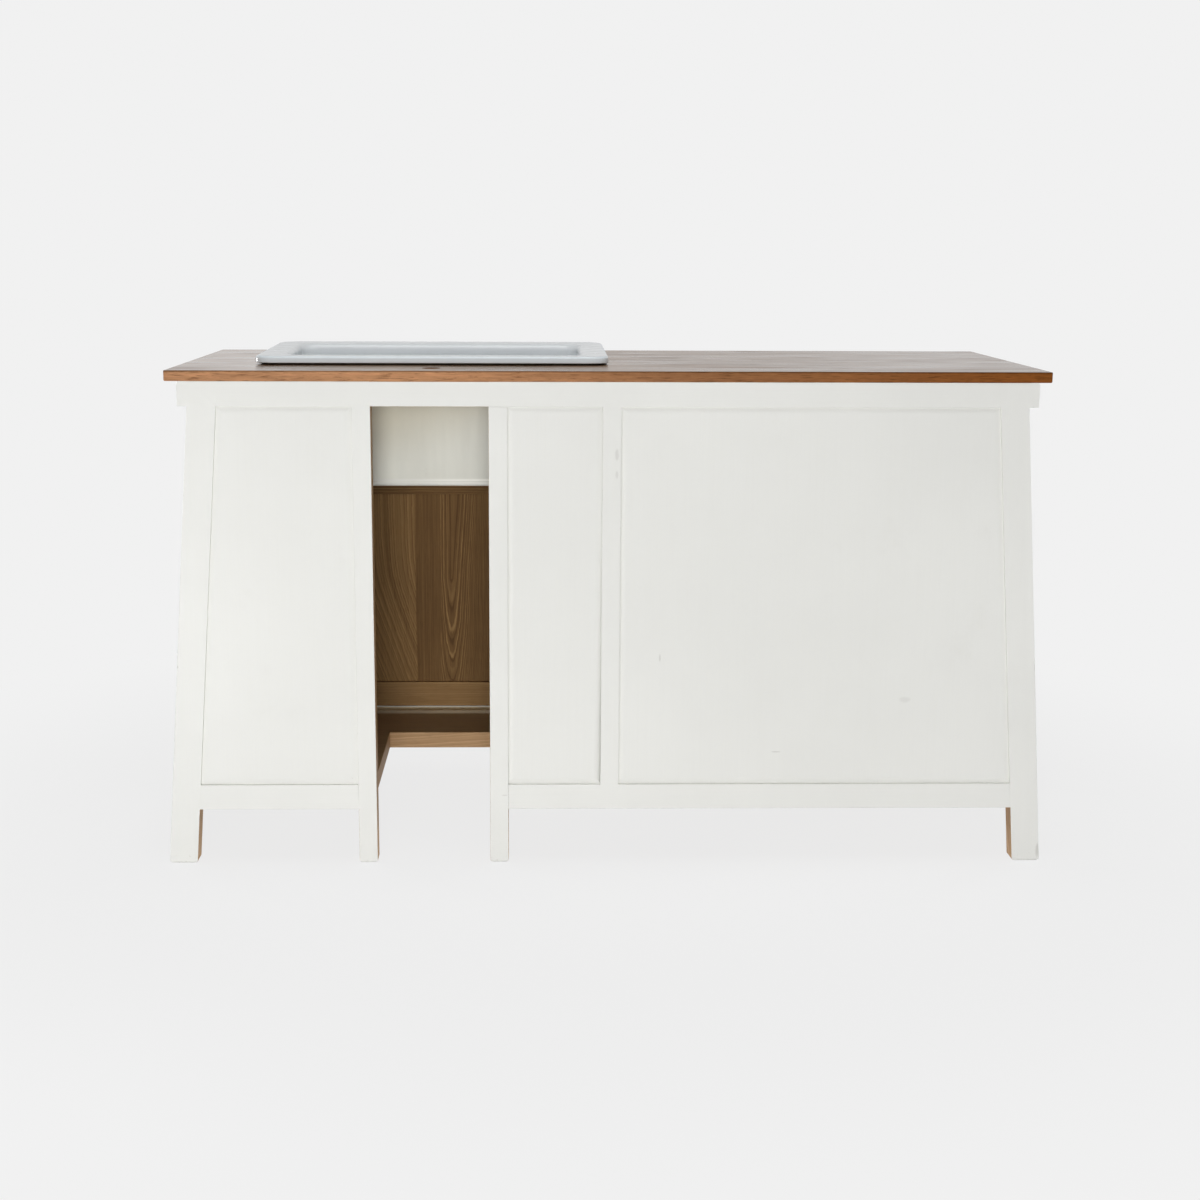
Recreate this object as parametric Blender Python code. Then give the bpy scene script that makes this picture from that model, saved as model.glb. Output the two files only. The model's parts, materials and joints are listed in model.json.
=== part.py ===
"""Vanity unit with splayed sides: a painted frame-and-panel body, a wooden worktop, an inset
ceramic basin over a plumbing slot in the back, two sliding doors on a double track and a drawer.

Lengths are in metres. +Z is up, the front faces -Y, +X is to the right seen from the front,
and the origin lies on the floor under the middle of the worktop. The basin is on the right.
"""

import math

import bmesh
import bpy
from mathutils import Vector

MM = 0.001

# Fit between pieces that touch
FIT = 0.3 * MM

# Worktop
HEIGHT = 866 * MM  # floor to the worktop's surface
TOP_LENGTH = 1500 * MM
TOP_DEPTH = 600 * MM
TOP_THICKNESS = 18 * MM
TOP_CORNER = 2.5 * MM  # radius of the corners, seen from above
TOP_EASE = 1.2 * MM  # rounding of the edges
TAP_HOLE = 32 * MM  # diameter

# Splayed body
END_OVERHANG = 40 * MM  # of the worktop past the tops of the posts
FOOT_SPREAD = 61 * MM  # of each foot past the top of its post
FRONT_OVERHANG = 37 * MM  # of the worktop past the front frame
POST_WIDTH = 49 * MM
POST_DEPTH = 36 * MM
FOOT_EASE = 4 * MM  # rounding under the feet
FOOT_CLEARANCE = 99 * MM  # floor to the bottom rails

# Frames
FRAME_THICKNESS = 30 * MM
SIDE_THICKNESS = 26 * MM
TOP_RAIL_HEIGHT = 42 * MM
BOTTOM_RAIL_HEIGHT = 44 * MM
MIDDLE_RAIL_HEIGHT = 34 * MM
STILE_WIDTH = 32 * MM
TENON_LENGTH = 22 * MM
TENON_THICKNESS = 8 * MM
TENON_SET = 11 * MM  # face of the frame to the tenon
TENON_HAUNCH = 10 * MM  # shoulder that clears the corners of the panels

# Fielded panels
PANEL_SET = 0.6 * MM  # field behind the face of the frame
BEVEL_WIDTH = 11 * MM
BEVEL_DROP = 4.5 * MM
PANEL_STEP = 1.5 * MM  # from the low edge of the bevel to the tongue
TONGUE_THICKNESS = 7 * MM
TONGUE_LENGTH = 7 * MM
PANEL_GAP_BELOW = 2 * MM  # shadow gap that shrinkage has opened along the bottom edge

# Cornice under the ends of the worktop
CORNICE_PROUD = 16 * MM
CORNICE_ROUND_LOW = 1.5 * MM
CORNICE_ROUND_HIGH = 4 * MM

# Basin, and the plumbing slot behind it
SINK_FROM_END = 445 * MM  # right end of the worktop to the middle of the basin and slot
SLOT_WIDTH = 199 * MM
SLOT_STILE_DEPTH = 34 * MM
BASIN_LENGTH = 622 * MM
BASIN_WIDTH = 352 * MM
BASIN_CORNER = 28 * MM
BASIN_OFFSET = 3 * MM  # of its middle from the slot's, towards the end
BASIN_DEPTH = 220 * MM  # worktop's surface to the underside of the bowl
BASIN_RISE = 23 * MM  # of the rim above the worktop, along the front
BASIN_RISE_BACK = 16 * MM  # and along the back, by the tap
BASIN_WALL = 12 * MM
BASIN_FLOOR = 15 * MM
BASIN_CLEARANCE = 4 * MM  # bowl to the door tracks
CUTOUT_CLEARANCE = 4 * MM  # bowl to the edge of the cut-out
RIM_WIDTH = 50 * MM
RIM_FOOT = 3.5 * MM  # shadow gap under the outer edge of the rim
RIM_SEAT = 9 * MM  # outer edge of the rim to the foot it stands on
RIM_UNDER = 1.5 * MM  # chamfer under the outer edge
RIM_ROUND = 7 * MM
RIM_FALL = 1.5 * MM  # slope of the rim towards the bowl
LIP_ROUND = 13 * MM
BOWL_CORNER = 30 * MM
BOWL_DRAFT = 12 * MM
BOWL_FILLET = 32 * MM
BOWL_EDGE = 8 * MM  # rounding of the underside
WASTE_HOLE = 46 * MM
WASTE_DISH = 5 * MM  # fall of the bowl's floor to the waste

# Floor, partition and bearers
FLOOR_STEP = 14 * MM  # top of the floor board above the back and side rails
FLOOR_THICKNESS = 30 * MM
NOTCH_DEPTH = 300 * MM  # plumbing notch, from the back face
PARTITION_THICKNESS = 18 * MM
PARTITION_CLEARANCE = 30 * MM  # bowl to the partition
BEARER = 24 * MM

# Sliding doors and their tracks
DOOR_THICKNESS = 28 * MM
DOOR_STILE = 50 * MM
DOOR_RAIL = 50 * MM
DOOR_PANEL = 8 * MM
DOOR_LAP = 12 * MM  # of a door behind the post
DOOR_ENGAGEMENT = 8 * MM  # of a door in the upper track
DOOR_LIFT = 5 * MM  # room over a door, to lift it out
TRACK_SETBACK = 8 * MM  # behind the front frame
TRACK_BASE = 2 * MM
TRACK_FLANGE = 2 * MM
TRACK_RIB = 4 * MM  # middle flange
TRACK_HEIGHT = 6 * MM  # of the lower track
TRACK_END_GAP = 3 * MM
CHANNEL_CLEARANCE = 3 * MM
GLIDE_LENGTH = 60 * MM
GLIDE_WIDTH = 10 * MM
GLIDE_SEAT = 10 * MM  # depth of its mortise
GLIDE_PROUD = 1.2 * MM
GLIDE_INSET = 70 * MM  # from the end of the rail
PULL_LENGTH = 96 * MM
PULL_WIDTH = 18 * MM
PULL_DEPTH = 11 * MM
HEAD_RAIL_THICKNESS = 16 * MM

# Drawer
DRAWER_OPENING = 142 * MM  # height of the frame opening, under the top rail
DRAWER_LENGTH = 400 * MM
DRAWER_HEADROOM = 34 * MM  # over the sides of the drawer
DRAWER_FRONT = 20 * MM
DRAWER_SIDE = 12 * MM
DRAWER_BOTTOM = 6 * MM
DRAWER_BOTTOM_SET = 9 * MM  # lower edge of the sides to the bottom
DRAWER_GROOVE = 5 * MM
DRAWER_GAP = 1.5 * MM  # round the drawer front
DRAWER_SIDE_GAP = 5 * MM  # frame opening to the drawer box
RUNNER_HEIGHT = 24 * MM
RUNNER_LEDGE = 18 * MM  # under the side of the drawer
RUNNER_GUIDE = 10 * MM  # width of the upstand beside the drawer
RUNNER_LIP = 12 * MM  # height of that upstand
RUNNER_CLEARANCE = 1 * MM
KNOB_INSET = 160 * MM  # from each end of the drawer front
KNOB_LENGTH = 26 * MM
KNOB_DIAMETER = 30 * MM
KNOB_UNDERCUT = 5 * MM  # taper behind the head
KNOB_NECK = 13 * MM
KNOB_COLLAR = 20 * MM
KNOB_COLLAR_HEIGHT = 3 * MM
KNOB_DOME = 80  # degrees of arc, up to a small flat

# Facets of round forms
CORNER_STEPS = 6
ARC_STEPS = 4
TURN_STEPS = 24
SMOOTH_ANGLE = math.radians(40)

# Planes that several pieces share
FRAME_TOP = HEIGHT - TOP_THICKNESS - FIT
BODY_LENGTH_AT_TOP = TOP_LENGTH - 2 * END_OVERHANG
BODY_LENGTH_AT_FLOOR = BODY_LENGTH_AT_TOP + 2 * FOOT_SPREAD
SPLAY = FOOT_SPREAD / (HEIGHT - TOP_THICKNESS)  # sideways, for each metre of height
BACK = TOP_DEPTH / 2
FRONT = FRONT_OVERHANG - TOP_DEPTH / 2
FRONT_INSIDE = FRONT + POST_DEPTH
BACK_INSIDE = BACK - POST_DEPTH
TOP_RAIL_LOW = HEIGHT - TOP_THICKNESS - TOP_RAIL_HEIGHT
BOTTOM_RAIL_TOP = FOOT_CLEARANCE + BOTTOM_RAIL_HEIGHT
FLOOR_TOP = BOTTOM_RAIL_TOP + FLOOR_STEP
TONGUE_SET = PANEL_SET + BEVEL_DROP + PANEL_STEP
SINK_X = TOP_LENGTH / 2 - SINK_FROM_END
BASIN_X = SINK_X + BASIN_OFFSET
BOWL_LEFT = BASIN_X - BASIN_LENGTH / 2 + RIM_WIDTH - BASIN_WALL
STILE_X = BOWL_LEFT - PARTITION_CLEARANCE - PARTITION_THICKNESS / 2  # middle of stile, muntin and partition
SLOT_LEFT = SINK_X - SLOT_WIDTH / 2
SLOT_RIGHT = SINK_X + SLOT_WIDTH / 2

# Planes of the doors: two lanes, one behind the other, between the floor and the drawer
LANE = DOOR_THICKNESS + 2 * CHANNEL_CLEARANCE
TRACK_FRONT = FRONT_INSIDE + TRACK_SETBACK
TRACK_BACK = TRACK_FRONT + 2 * TRACK_FLANGE + 2 * LANE + TRACK_RIB
FRONT_LANE = TRACK_FRONT + TRACK_FLANGE + CHANNEL_CLEARANCE
REAR_LANE = FRONT_LANE + LANE + TRACK_RIB
BEARING = TOP_RAIL_LOW - DRAWER_OPENING  # level on which the drawer runs
HEAD_RAIL_LOW = BEARING - HEAD_RAIL_THICKNESS
UPPER_TRACK_TOP = HEAD_RAIL_LOW - FIT
DOOR_TOP = UPPER_TRACK_TOP - TRACK_BASE - DOOR_LIFT
UPPER_TRACK_LOW = DOOR_TOP - DOOR_ENGAGEMENT
TRACK_LOW = FLOOR_TOP + FIT
DOOR_LOW = TRACK_LOW + TRACK_BASE + FIT + GLIDE_PROUD

# Middle of the basin: its bowl hangs just behind the door tracks
BASIN_Y = TRACK_BACK + BASIN_CLEARANCE + BASIN_WIDTH / 2 - RIM_WIDTH - BOWL_DRAFT + BASIN_WALL
BASIN_BACK = BASIN_Y + BASIN_WIDTH / 2

# Finishes: colour, roughness, metallic value
FINISHES = {
    "white_paint": ((0.84, 0.84, 0.81), 0.5, 0.0),
    "stained_top": ((0.27, 0.12, 0.05), 0.35, 0.0),
    "brown_wood": ((0.13, 0.075, 0.035), 0.5, 0.0),
    "raw_wood": ((0.32, 0.2, 0.11), 0.6, 0.0),
    "glazed_ceramic": ((0.8, 0.82, 0.83), 0.08, 0.0),
    "track_metal": ((0.62, 0.62, 0.56), 0.35, 1.0),
    "aged_brass": ((0.45, 0.32, 0.14), 0.4, 1.0),
    "nylon": ((0.7, 0.7, 0.68), 0.45, 0.0),
}

pieces = {}
cuts = {}


# Walls: each turns (distance along, depth behind the face, height) into a point


def half_length(z):
    """Half of the body's length over the posts, at height z."""
    return BODY_LENGTH_AT_FLOOR / 2 - SPLAY * z


def back_wall(along, depth, z):
    return (along, BACK - depth, z)


def front_wall(along, depth, z):
    return (along, FRONT + depth, z)


def plain_wall(along, depth, z):
    return (along, depth, z)


def side_wall(side):
    return lambda along, depth, z: (side * (half_length(z) - depth), along, z)


def door_wall(side, face):
    return lambda along, depth, z: (side * along, face + depth, z)


# Edges: each gives a distance along a wall at height z


def upright(along):
    return lambda z: along


def leaning(side, inset):
    """Edge parallel to a side of the body, this far inside it."""
    return lambda z: side * (half_length(z) - inset)


def moved(edge, distance):
    return lambda z: edge(z) + distance


# Solids


def loft(loops, ring=False):
    """Closed solid through matching loops of points. A ring joins the last loop to the first."""
    solid = bmesh.new()
    rows = [[solid.verts.new(point) for point in loop] for loop in loops]
    neighbours = list(zip(rows, rows[1:]))
    if ring:
        neighbours.append((rows[-1], rows[0]))
    else:
        solid.faces.new(rows[0])
        solid.faces.new(rows[-1])
    count = len(rows[0])
    for here, there in neighbours:
        for i in range(count):
            j = (i + 1) % count
            solid.faces.new((here[i], here[j], there[j], there[i]))
    bmesh.ops.recalc_face_normals(solid, faces=solid.faces)
    return solid


def cross_section(wall, edge, low, high, near, far):
    """Section of a horizontal member where it meets an edge."""
    corners = ((near, low), (far, low), (far, high), (near, high))
    return [wall(edge(z), depth, z) for depth, z in corners]


def level_section(wall, left, right, near, far, z):
    """Section of an upright member at height z."""
    corners = ((left, near), (right, near), (right, far), (left, far))
    return [wall(edge(z), depth, z) for edge, depth in corners]


def outline(wall, left, right, low, high, depth):
    """Four corners of a panel at one depth."""
    corners = ((left, low), (right, low), (right, high), (left, high))
    return [wall(edge(z), depth, z) for edge, z in corners]


def block(wall, left, right, low, high, near, far, grow=0.0):
    """Six-faced solid between two edges, two heights and two depths."""
    left = moved(left, -grow)
    right = moved(right, grow)
    return loft(
        [
            cross_section(wall, left, low - grow, high + grow, near - grow, far + grow),
            cross_section(wall, right, low - grow, high + grow, near - grow, far + grow),
        ]
    )


def box(low, high):
    """Solid between two opposite corners."""
    ends = (upright(low[0]), upright(high[0]))
    return block(plain_wall, *ends, low[2], high[2], low[1], high[1])


def arc(centre, radius, start, end):
    """Points of an arc, with angles in degrees."""
    angles = [math.radians(start + (end - start) * i / ARC_STEPS) for i in range(ARC_STEPS + 1)]
    return [(centre[0] + radius * math.cos(a), centre[1] + radius * math.sin(a)) for a in angles]


def rounded_rectangle(half_x, half_y, radius):
    """Points round a rectangle with round corners, about its middle."""
    points = []
    for quarter, (sx, sy) in enumerate(((1, 1), (-1, 1), (-1, -1), (1, -1))):
        for step in range(CORNER_STEPS + 1):
            angle = math.pi / 2 * (quarter + step / CORNER_STEPS)
            x = sx * (half_x - radius) + radius * math.cos(angle)
            y = sy * (half_y - radius) + radius * math.sin(angle)
            points.append((x, y))
    return points


def disc(diameter, steps=TURN_STEPS):
    """Points round a circle about the origin."""
    angles = [2 * math.pi * i / steps for i in range(steps)]
    return [(diameter / 2 * math.cos(a), diameter / 2 * math.sin(a)) for a in angles]


def level_loop(points, x, y, z):
    """Loop of plan points at height z, round the middle x, y."""
    return [(x + px, y + py, z) for px, py in points]


# Assembly


def add(name, solid, finish, body):
    pieces[name] = (solid, finish, body)


def cut(names, make_solid):
    """Cuts the same solid out of each named piece."""
    for name in names:
        cuts.setdefault(name, []).append(make_solid())


def rail(name, wall, left, right, low, high, thickness, finish, body, mates):
    """Horizontal member, tenoned at both ends into the mates whose faces are left and right."""
    near, far = TENON_SET, TENON_SET + TENON_THICKNESS
    heights = (low + TENON_HAUNCH, high - TENON_HAUNCH)
    left = moved(left, FIT)
    right = moved(right, -FIT)
    tips = (moved(left, -TENON_LENGTH), moved(right, TENON_LENGTH))
    loops = [
        cross_section(wall, tips[0], *heights, near, far),
        cross_section(wall, left, *heights, near, far),
        cross_section(wall, left, low, high, 0, thickness),
        cross_section(wall, right, low, high, 0, thickness),
        cross_section(wall, right, *heights, near, far),
        cross_section(wall, tips[1], *heights, near, far),
    ]
    add(name, loft(loops), finish, body)
    cut(mates[:1], lambda: block(wall, tips[0], left, *heights, near, far, grow=FIT))
    cut(mates[1:], lambda: block(wall, right, tips[1], *heights, near, far, grow=FIT))


def stile(name, wall, left, right, low, high, thickness, finish, body, below, above):
    """Upright member, tenoned into the piece above it and into the one below, or standing as a leg."""
    near, far = TENON_SET, TENON_SET + TENON_THICKNESS
    narrow = (moved(left, TENON_HAUNCH), moved(right, -TENON_HAUNCH))
    low += FIT if below else 0
    high -= FIT
    if below:
        loops = [
            level_section(wall, *narrow, near, far, low - TENON_LENGTH),
            level_section(wall, *narrow, near, far, low),
            level_section(wall, left, right, 0, thickness, low),
        ]
        cut([below], lambda: block(wall, *narrow, low - TENON_LENGTH, low, near, far, grow=FIT))
    else:
        eased = (moved(left, FOOT_EASE), moved(right, -FOOT_EASE))
        loops = [
            level_section(wall, *eased, FOOT_EASE, thickness - FOOT_EASE, low),
            level_section(wall, left, right, 0, thickness, low + FOOT_EASE),
        ]
    loops += [
        level_section(wall, left, right, 0, thickness, high),
        level_section(wall, *narrow, near, far, high),
        level_section(wall, *narrow, near, far, high + TENON_LENGTH),
    ]
    add(name, loft(loops), finish, body)
    cut([above], lambda: block(wall, *narrow, high, high + TENON_LENGTH, near, far, grow=FIT))


def groove(wall, left, right, low, high, near, far, mates):
    """Groove in the mates, round an opening, for the tongue of a panel."""
    left = moved(left, -TONGUE_LENGTH)
    right = moved(right, TONGUE_LENGTH)
    heights = (low - TONGUE_LENGTH, high + TONGUE_LENGTH)
    cut(mates, lambda: block(wall, left, right, *heights, near, far, grow=FIT))
    return left, right, *heights


def fielded_panel(name, wall, left, right, low, high, finish, body, mates):
    """Raised panel in an opening: a flat field, a bevel round it and a tongue in the mates' grooves."""
    far = TONGUE_SET + TONGUE_THICKNESS
    tongue = groove(wall, left, right, low, high, TONGUE_SET, far, mates)
    bevel = (moved(left, FIT), moved(right, -FIT), low + PANEL_GAP_BELOW, high - FIT)
    field = (
        moved(bevel[0], BEVEL_WIDTH),
        moved(bevel[1], -BEVEL_WIDTH),
        bevel[2] + BEVEL_WIDTH,
        bevel[3] - BEVEL_WIDTH,
    )
    loops = [
        outline(wall, *tongue, far),
        outline(wall, *tongue, TONGUE_SET),
        outline(wall, *bevel, TONGUE_SET),
        outline(wall, *bevel, PANEL_SET + BEVEL_DROP),
        outline(wall, *field, PANEL_SET),
    ]
    add(name, loft(loops), finish, body)


def corner_post(name, side, wall):
    """Leaning post, standing on the floor."""
    outer = leaning(side, 0)
    inner = leaning(side, POST_WIDTH)
    eased = (leaning(side, FOOT_EASE), leaning(side, POST_WIDTH - FOOT_EASE))
    loops = [
        level_section(wall, *eased, FOOT_EASE, POST_DEPTH - FOOT_EASE, 0),
        level_section(wall, outer, inner, 0, POST_DEPTH, FOOT_EASE),
        level_section(wall, outer, inner, 0, POST_DEPTH, FRAME_TOP),
    ]
    add(name, loft(loops), "white_paint", "carcass")


def make_posts():
    for place, wall in (("back", back_wall), ("front", front_wall)):
        for hand, side in (("left", -1), ("right", 1)):
            corner_post(f"{place}_{hand}_post", side, wall)


def make_back():
    """Back frame: rails, stiles and panels, with the open plumbing slot behind the basin."""
    paint = ("white_paint", "carcass")
    left = leaning(-1, POST_WIDTH)
    right = leaning(1, POST_WIDTH)
    middle = (upright(STILE_X - STILE_WIDTH / 2), upright(STILE_X + STILE_WIDTH / 2))
    inner = (upright(SLOT_LEFT - STILE_WIDTH), upright(SLOT_LEFT))
    outer = (upright(SLOT_RIGHT), upright(SLOT_RIGHT + STILE_WIDTH))
    posts = ("back_left_post", "back_right_post")
    top, main, sink = "back_top_rail", "back_bottom_rail_main", "back_bottom_rail_sink"
    low = (FOOT_CLEARANCE, BOTTOM_RAIL_TOP, FRAME_THICKNESS, *paint)
    opening = (BOTTOM_RAIL_TOP, TOP_RAIL_LOW)
    rail(top, back_wall, left, right, TOP_RAIL_LOW, FRAME_TOP, FRAME_THICKNESS, *paint, posts)
    rail(main, back_wall, left, inner[0], *low, (posts[0], "slot_stile_inner"))
    rail(sink, back_wall, outer[1], right, *low, ("slot_stile_outer", posts[1]))
    stile("back_middle_stile", back_wall, *middle, *opening, FRAME_THICKNESS, *paint, main, top)
    for name, edges in (("slot_stile_inner", inner), ("slot_stile_outer", outer)):
        stile(name, back_wall, *edges, 0, TOP_RAIL_LOW, SLOT_STILE_DEPTH, *paint, None, top)
    bays = {
        "back_panel_wide": (left, middle[0], (posts[0], "back_middle_stile", main, top)),
        "back_panel_narrow": (middle[1], inner[0], ("back_middle_stile", "slot_stile_inner", main, top)),
        "back_panel_sink": (outer[1], right, ("slot_stile_outer", posts[1], sink, top)),
    }
    for name, (start, end, mates) in bays.items():
        fielded_panel(name, back_wall, start, end, *opening, *paint, mates)


def make_sides():
    """Side frames, and the cornices along their tops."""
    paint = ("white_paint", "carcass")
    edges = (upright(FRONT_INSIDE), upright(BACK_INSIDE))
    for hand, side in (("left", -1), ("right", 1)):
        wall = side_wall(side)
        posts = (f"front_{hand}_post", f"back_{hand}_post")
        rails = (f"{hand}_top_rail", f"{hand}_bottom_rail")
        rail(rails[0], wall, *edges, TOP_RAIL_LOW, FRAME_TOP, SIDE_THICKNESS, *paint, posts)
        rail(rails[1], wall, *edges, FOOT_CLEARANCE, BOTTOM_RAIL_TOP, SIDE_THICKNESS, *paint, posts)
        panel = f"{hand}_panel"
        fielded_panel(panel, wall, *edges, BOTTOM_RAIL_TOP, TOP_RAIL_LOW, *paint, posts + rails)
        make_cornice(f"{hand}_cornice", side)


def make_cornice(name, side):
    """Strip whose inner face leans with the side, with a rounded outer face."""
    outer = half_length(TOP_RAIL_LOW) + CORNICE_PROUD
    low = (outer - CORNICE_ROUND_LOW, TOP_RAIL_LOW + CORNICE_ROUND_LOW)
    high = (outer - CORNICE_ROUND_HIGH, FRAME_TOP - CORNICE_ROUND_HIGH)
    profile = [
        (half_length(FRAME_TOP) + FIT, FRAME_TOP),
        (half_length(TOP_RAIL_LOW) + FIT, TOP_RAIL_LOW),
        *arc(low, CORNICE_ROUND_LOW, -90, 0),
        *arc(high, CORNICE_ROUND_HIGH, 0, 90),
    ]
    loops = [[(side * x, y, z) for x, z in profile] for y in (FRONT, BACK)]
    add(name, loft(loops), "white_paint", "carcass")


def make_front():
    """Front frame: three rails, the muntin over the partition and the apron before the basin."""
    paint = ("white_paint", "carcass")
    left = leaning(-1, POST_WIDTH)
    right = leaning(1, POST_WIDTH)
    muntin = (upright(STILE_X - STILE_WIDTH / 2), upright(STILE_X + STILE_WIDTH / 2))
    posts = ("front_left_post", "front_right_post")
    heights = {
        "front_top_rail": (TOP_RAIL_LOW, FRAME_TOP),
        "front_middle_rail": (BEARING - MIDDLE_RAIL_HEIGHT, BEARING),
        "front_bottom_rail": (FOOT_CLEARANCE, FLOOR_TOP),
    }
    for name, (low, high) in heights.items():
        rail(name, front_wall, left, right, low, high, POST_DEPTH, *paint, posts)
    opening = (BEARING, TOP_RAIL_LOW)
    rails = ("front_middle_rail", "front_top_rail")
    stile("front_muntin", front_wall, *muntin, *opening, POST_DEPTH, *paint, *rails)
    mates = ("front_muntin", posts[1], *rails)
    fielded_panel("apron_panel", front_wall, muntin[1], right, *opening, *paint, mates)


def make_worktop():
    """Board with eased edges, the basin's cut-out and the tap hole."""
    loops = []
    for inset, z in (
        (TOP_EASE, HEIGHT - TOP_THICKNESS),
        (0, HEIGHT - TOP_THICKNESS + TOP_EASE),
        *((TOP_EASE - x, HEIGHT - TOP_EASE + z) for x, z in arc((0, 0), TOP_EASE, 0, 90)),
    ):
        plan = rounded_rectangle(TOP_LENGTH / 2 - inset, TOP_DEPTH / 2 - inset, TOP_CORNER)
        loops.append(level_loop(plan, 0, 0, z))
    add("worktop", loft(loops), "stained_top", "carcass")
    through = (HEIGHT - 2 * TOP_THICKNESS, HEIGHT + TOP_THICKNESS)
    reach = RIM_WIDTH - BASIN_WALL - CUTOUT_CLEARANCE
    corner = BOWL_CORNER + BASIN_WALL + CUTOUT_CLEARANCE
    opening = rounded_rectangle(BASIN_LENGTH / 2 - reach, BASIN_WIDTH / 2 - reach, corner)
    cut(["worktop"], lambda: loft([level_loop(opening, BASIN_X, BASIN_Y, z) for z in through]))
    tap_y = (BACK + BASIN_BACK) / 2
    cut(["worktop"], lambda: loft([level_loop(disc(TAP_HOLE), SINK_X, tap_y, z) for z in through]))


def make_basin():
    """Inset ceramic basin: one wall of even thickness with a rounded rim, a drafted bowl and a waste."""
    floor = BASIN_FLOOR - BASIN_DEPTH
    wall = RIM_WIDTH + BOWL_DRAFT
    outside = wall - BASIN_WALL
    rim = [
        (RIM_SEAT, FIT),
        (RIM_SEAT, RIM_FOOT),
        (RIM_UNDER, RIM_FOOT),
        (0, RIM_FOOT + RIM_UNDER),
        *arc((RIM_ROUND, BASIN_RISE - RIM_ROUND), RIM_ROUND, 180, 90),
    ]
    bowl = [
        *arc((RIM_WIDTH - LIP_ROUND, BASIN_RISE - RIM_FALL - LIP_ROUND), LIP_ROUND, 90, 0),
        *arc((wall + BOWL_FILLET, floor + WASTE_DISH + BOWL_FILLET), BOWL_FILLET, 180, 270),
    ]
    underside = [
        *arc((outside + BOWL_EDGE, BOWL_EDGE - BASIN_DEPTH), BOWL_EDGE, 270, 180),
        (RIM_WIDTH - BASIN_WALL, FIT),
    ]

    def loop(inset, z, corner):
        plan = rounded_rectangle(BASIN_LENGTH / 2 - inset, BASIN_WIDTH / 2 - inset, corner)
        points = level_loop(plan, BASIN_X, BASIN_Y, HEIGHT + min(z, RIM_FOOT))
        return [(x, y, h + max(z - RIM_FOOT, 0) * rise(y)) for x, y, h in points]

    def rise(y):
        """Height of the rim above its gap at depth y, as a share of that along the front."""
        behind = (y - BASIN_Y) / BASIN_WIDTH + 0.5
        return 1 + behind * ((BASIN_RISE_BACK - RIM_FOOT) / (BASIN_RISE - RIM_FOOT) - 1)

    def waste(z):
        half = WASTE_HOLE / 2
        plan = rounded_rectangle(half, half, half - FIT)
        return level_loop(plan, BASIN_X, BASIN_Y, HEIGHT + z)

    loops = [loop(inset, z, BASIN_CORNER) for inset, z in rim]
    loops += [loop(inset, z, BOWL_CORNER) for inset, z in bowl]
    loops += [waste(floor), waste(-BASIN_DEPTH)]
    loops += [loop(inset, z, BOWL_CORNER + BASIN_WALL) for inset, z in underside]
    add("basin", loft(loops, ring=True), "glazed_ceramic", "carcass")


def make_floor():
    """Floor board with its plumbing notch, and the bearers under it."""
    end = half_length(FLOOR_TOP) - SIDE_THICKNESS - FIT
    front, back = FRONT_INSIDE + FIT, BACK_INSIDE - FIT
    notch = BACK - NOTCH_DEPTH
    plan = [
        (-end, front),
        (end, front),
        (end, back),
        (SLOT_RIGHT, back),
        (SLOT_RIGHT, notch),
        (SLOT_LEFT, notch),
        (SLOT_LEFT, back),
        (-end, back),
    ]
    low = FLOOR_TOP - FLOOR_THICKNESS
    loops = [level_loop(plan, 0, 0, z) for z in (low, FLOOR_TOP)]
    add("floor_board", loft(loops), "brown_wood", "carcass")
    top = low - FIT
    left, right = leaning(-1, POST_WIDTH), leaning(1, POST_WIDTH)
    inner, outer = upright(SLOT_LEFT - STILE_WIDTH), upright(SLOT_RIGHT + STILE_WIDTH)
    bearers = {
        "front_floor_bearer": (front_wall, POST_DEPTH, left, right),
        "back_floor_bearer_main": (back_wall, FRAME_THICKNESS, left, inner),
        "back_floor_bearer_sink": (back_wall, FRAME_THICKNESS, outer, right),
    }
    for name, (wall, thickness, start, end) in bearers.items():
        near = thickness + FIT
        ends = (moved(start, FIT), moved(end, -FIT))
        add(name, block(wall, *ends, top - BEARER, top, near, near + BEARER), "raw_wood", "carcass")


def make_partition():
    """Upright board between the two halves, stepped forward over the head rail."""
    back = BACK - FRAME_THICKNESS - FIT
    behind = TRACK_BACK + FIT
    profile = [
        (back, FLOOR_TOP + FIT),
        (behind, FLOOR_TOP + FIT),
        (behind, BEARING + FIT),
        (FRONT_INSIDE + FIT, BEARING + FIT),
        (FRONT_INSIDE + FIT, FRAME_TOP),
        (back, FRAME_TOP),
    ]
    faces = (STILE_X - PARTITION_THICKNESS / 2, STILE_X + PARTITION_THICKNESS / 2)
    add("partition", loft([[(x, y, z) for y, z in profile] for x in faces]), "brown_wood", "carcass")


def track_profile(base, open_edge):
    """Section of a double channel, from the outer face of its base to the edge of its flanges."""
    inside = base + math.copysign(TRACK_BASE, open_edge - base)
    rib = TRACK_FRONT + TRACK_FLANGE + LANE
    return [
        (TRACK_FRONT, base),
        (TRACK_FRONT, open_edge),
        (TRACK_FRONT + TRACK_FLANGE, open_edge),
        (TRACK_FRONT + TRACK_FLANGE, inside),
        (rib, inside),
        (rib, open_edge),
        (rib + TRACK_RIB, open_edge),
        (rib + TRACK_RIB, inside),
        (TRACK_BACK - TRACK_FLANGE, inside),
        (TRACK_BACK - TRACK_FLANGE, open_edge),
        (TRACK_BACK, open_edge),
        (TRACK_BACK, base),
    ]


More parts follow.
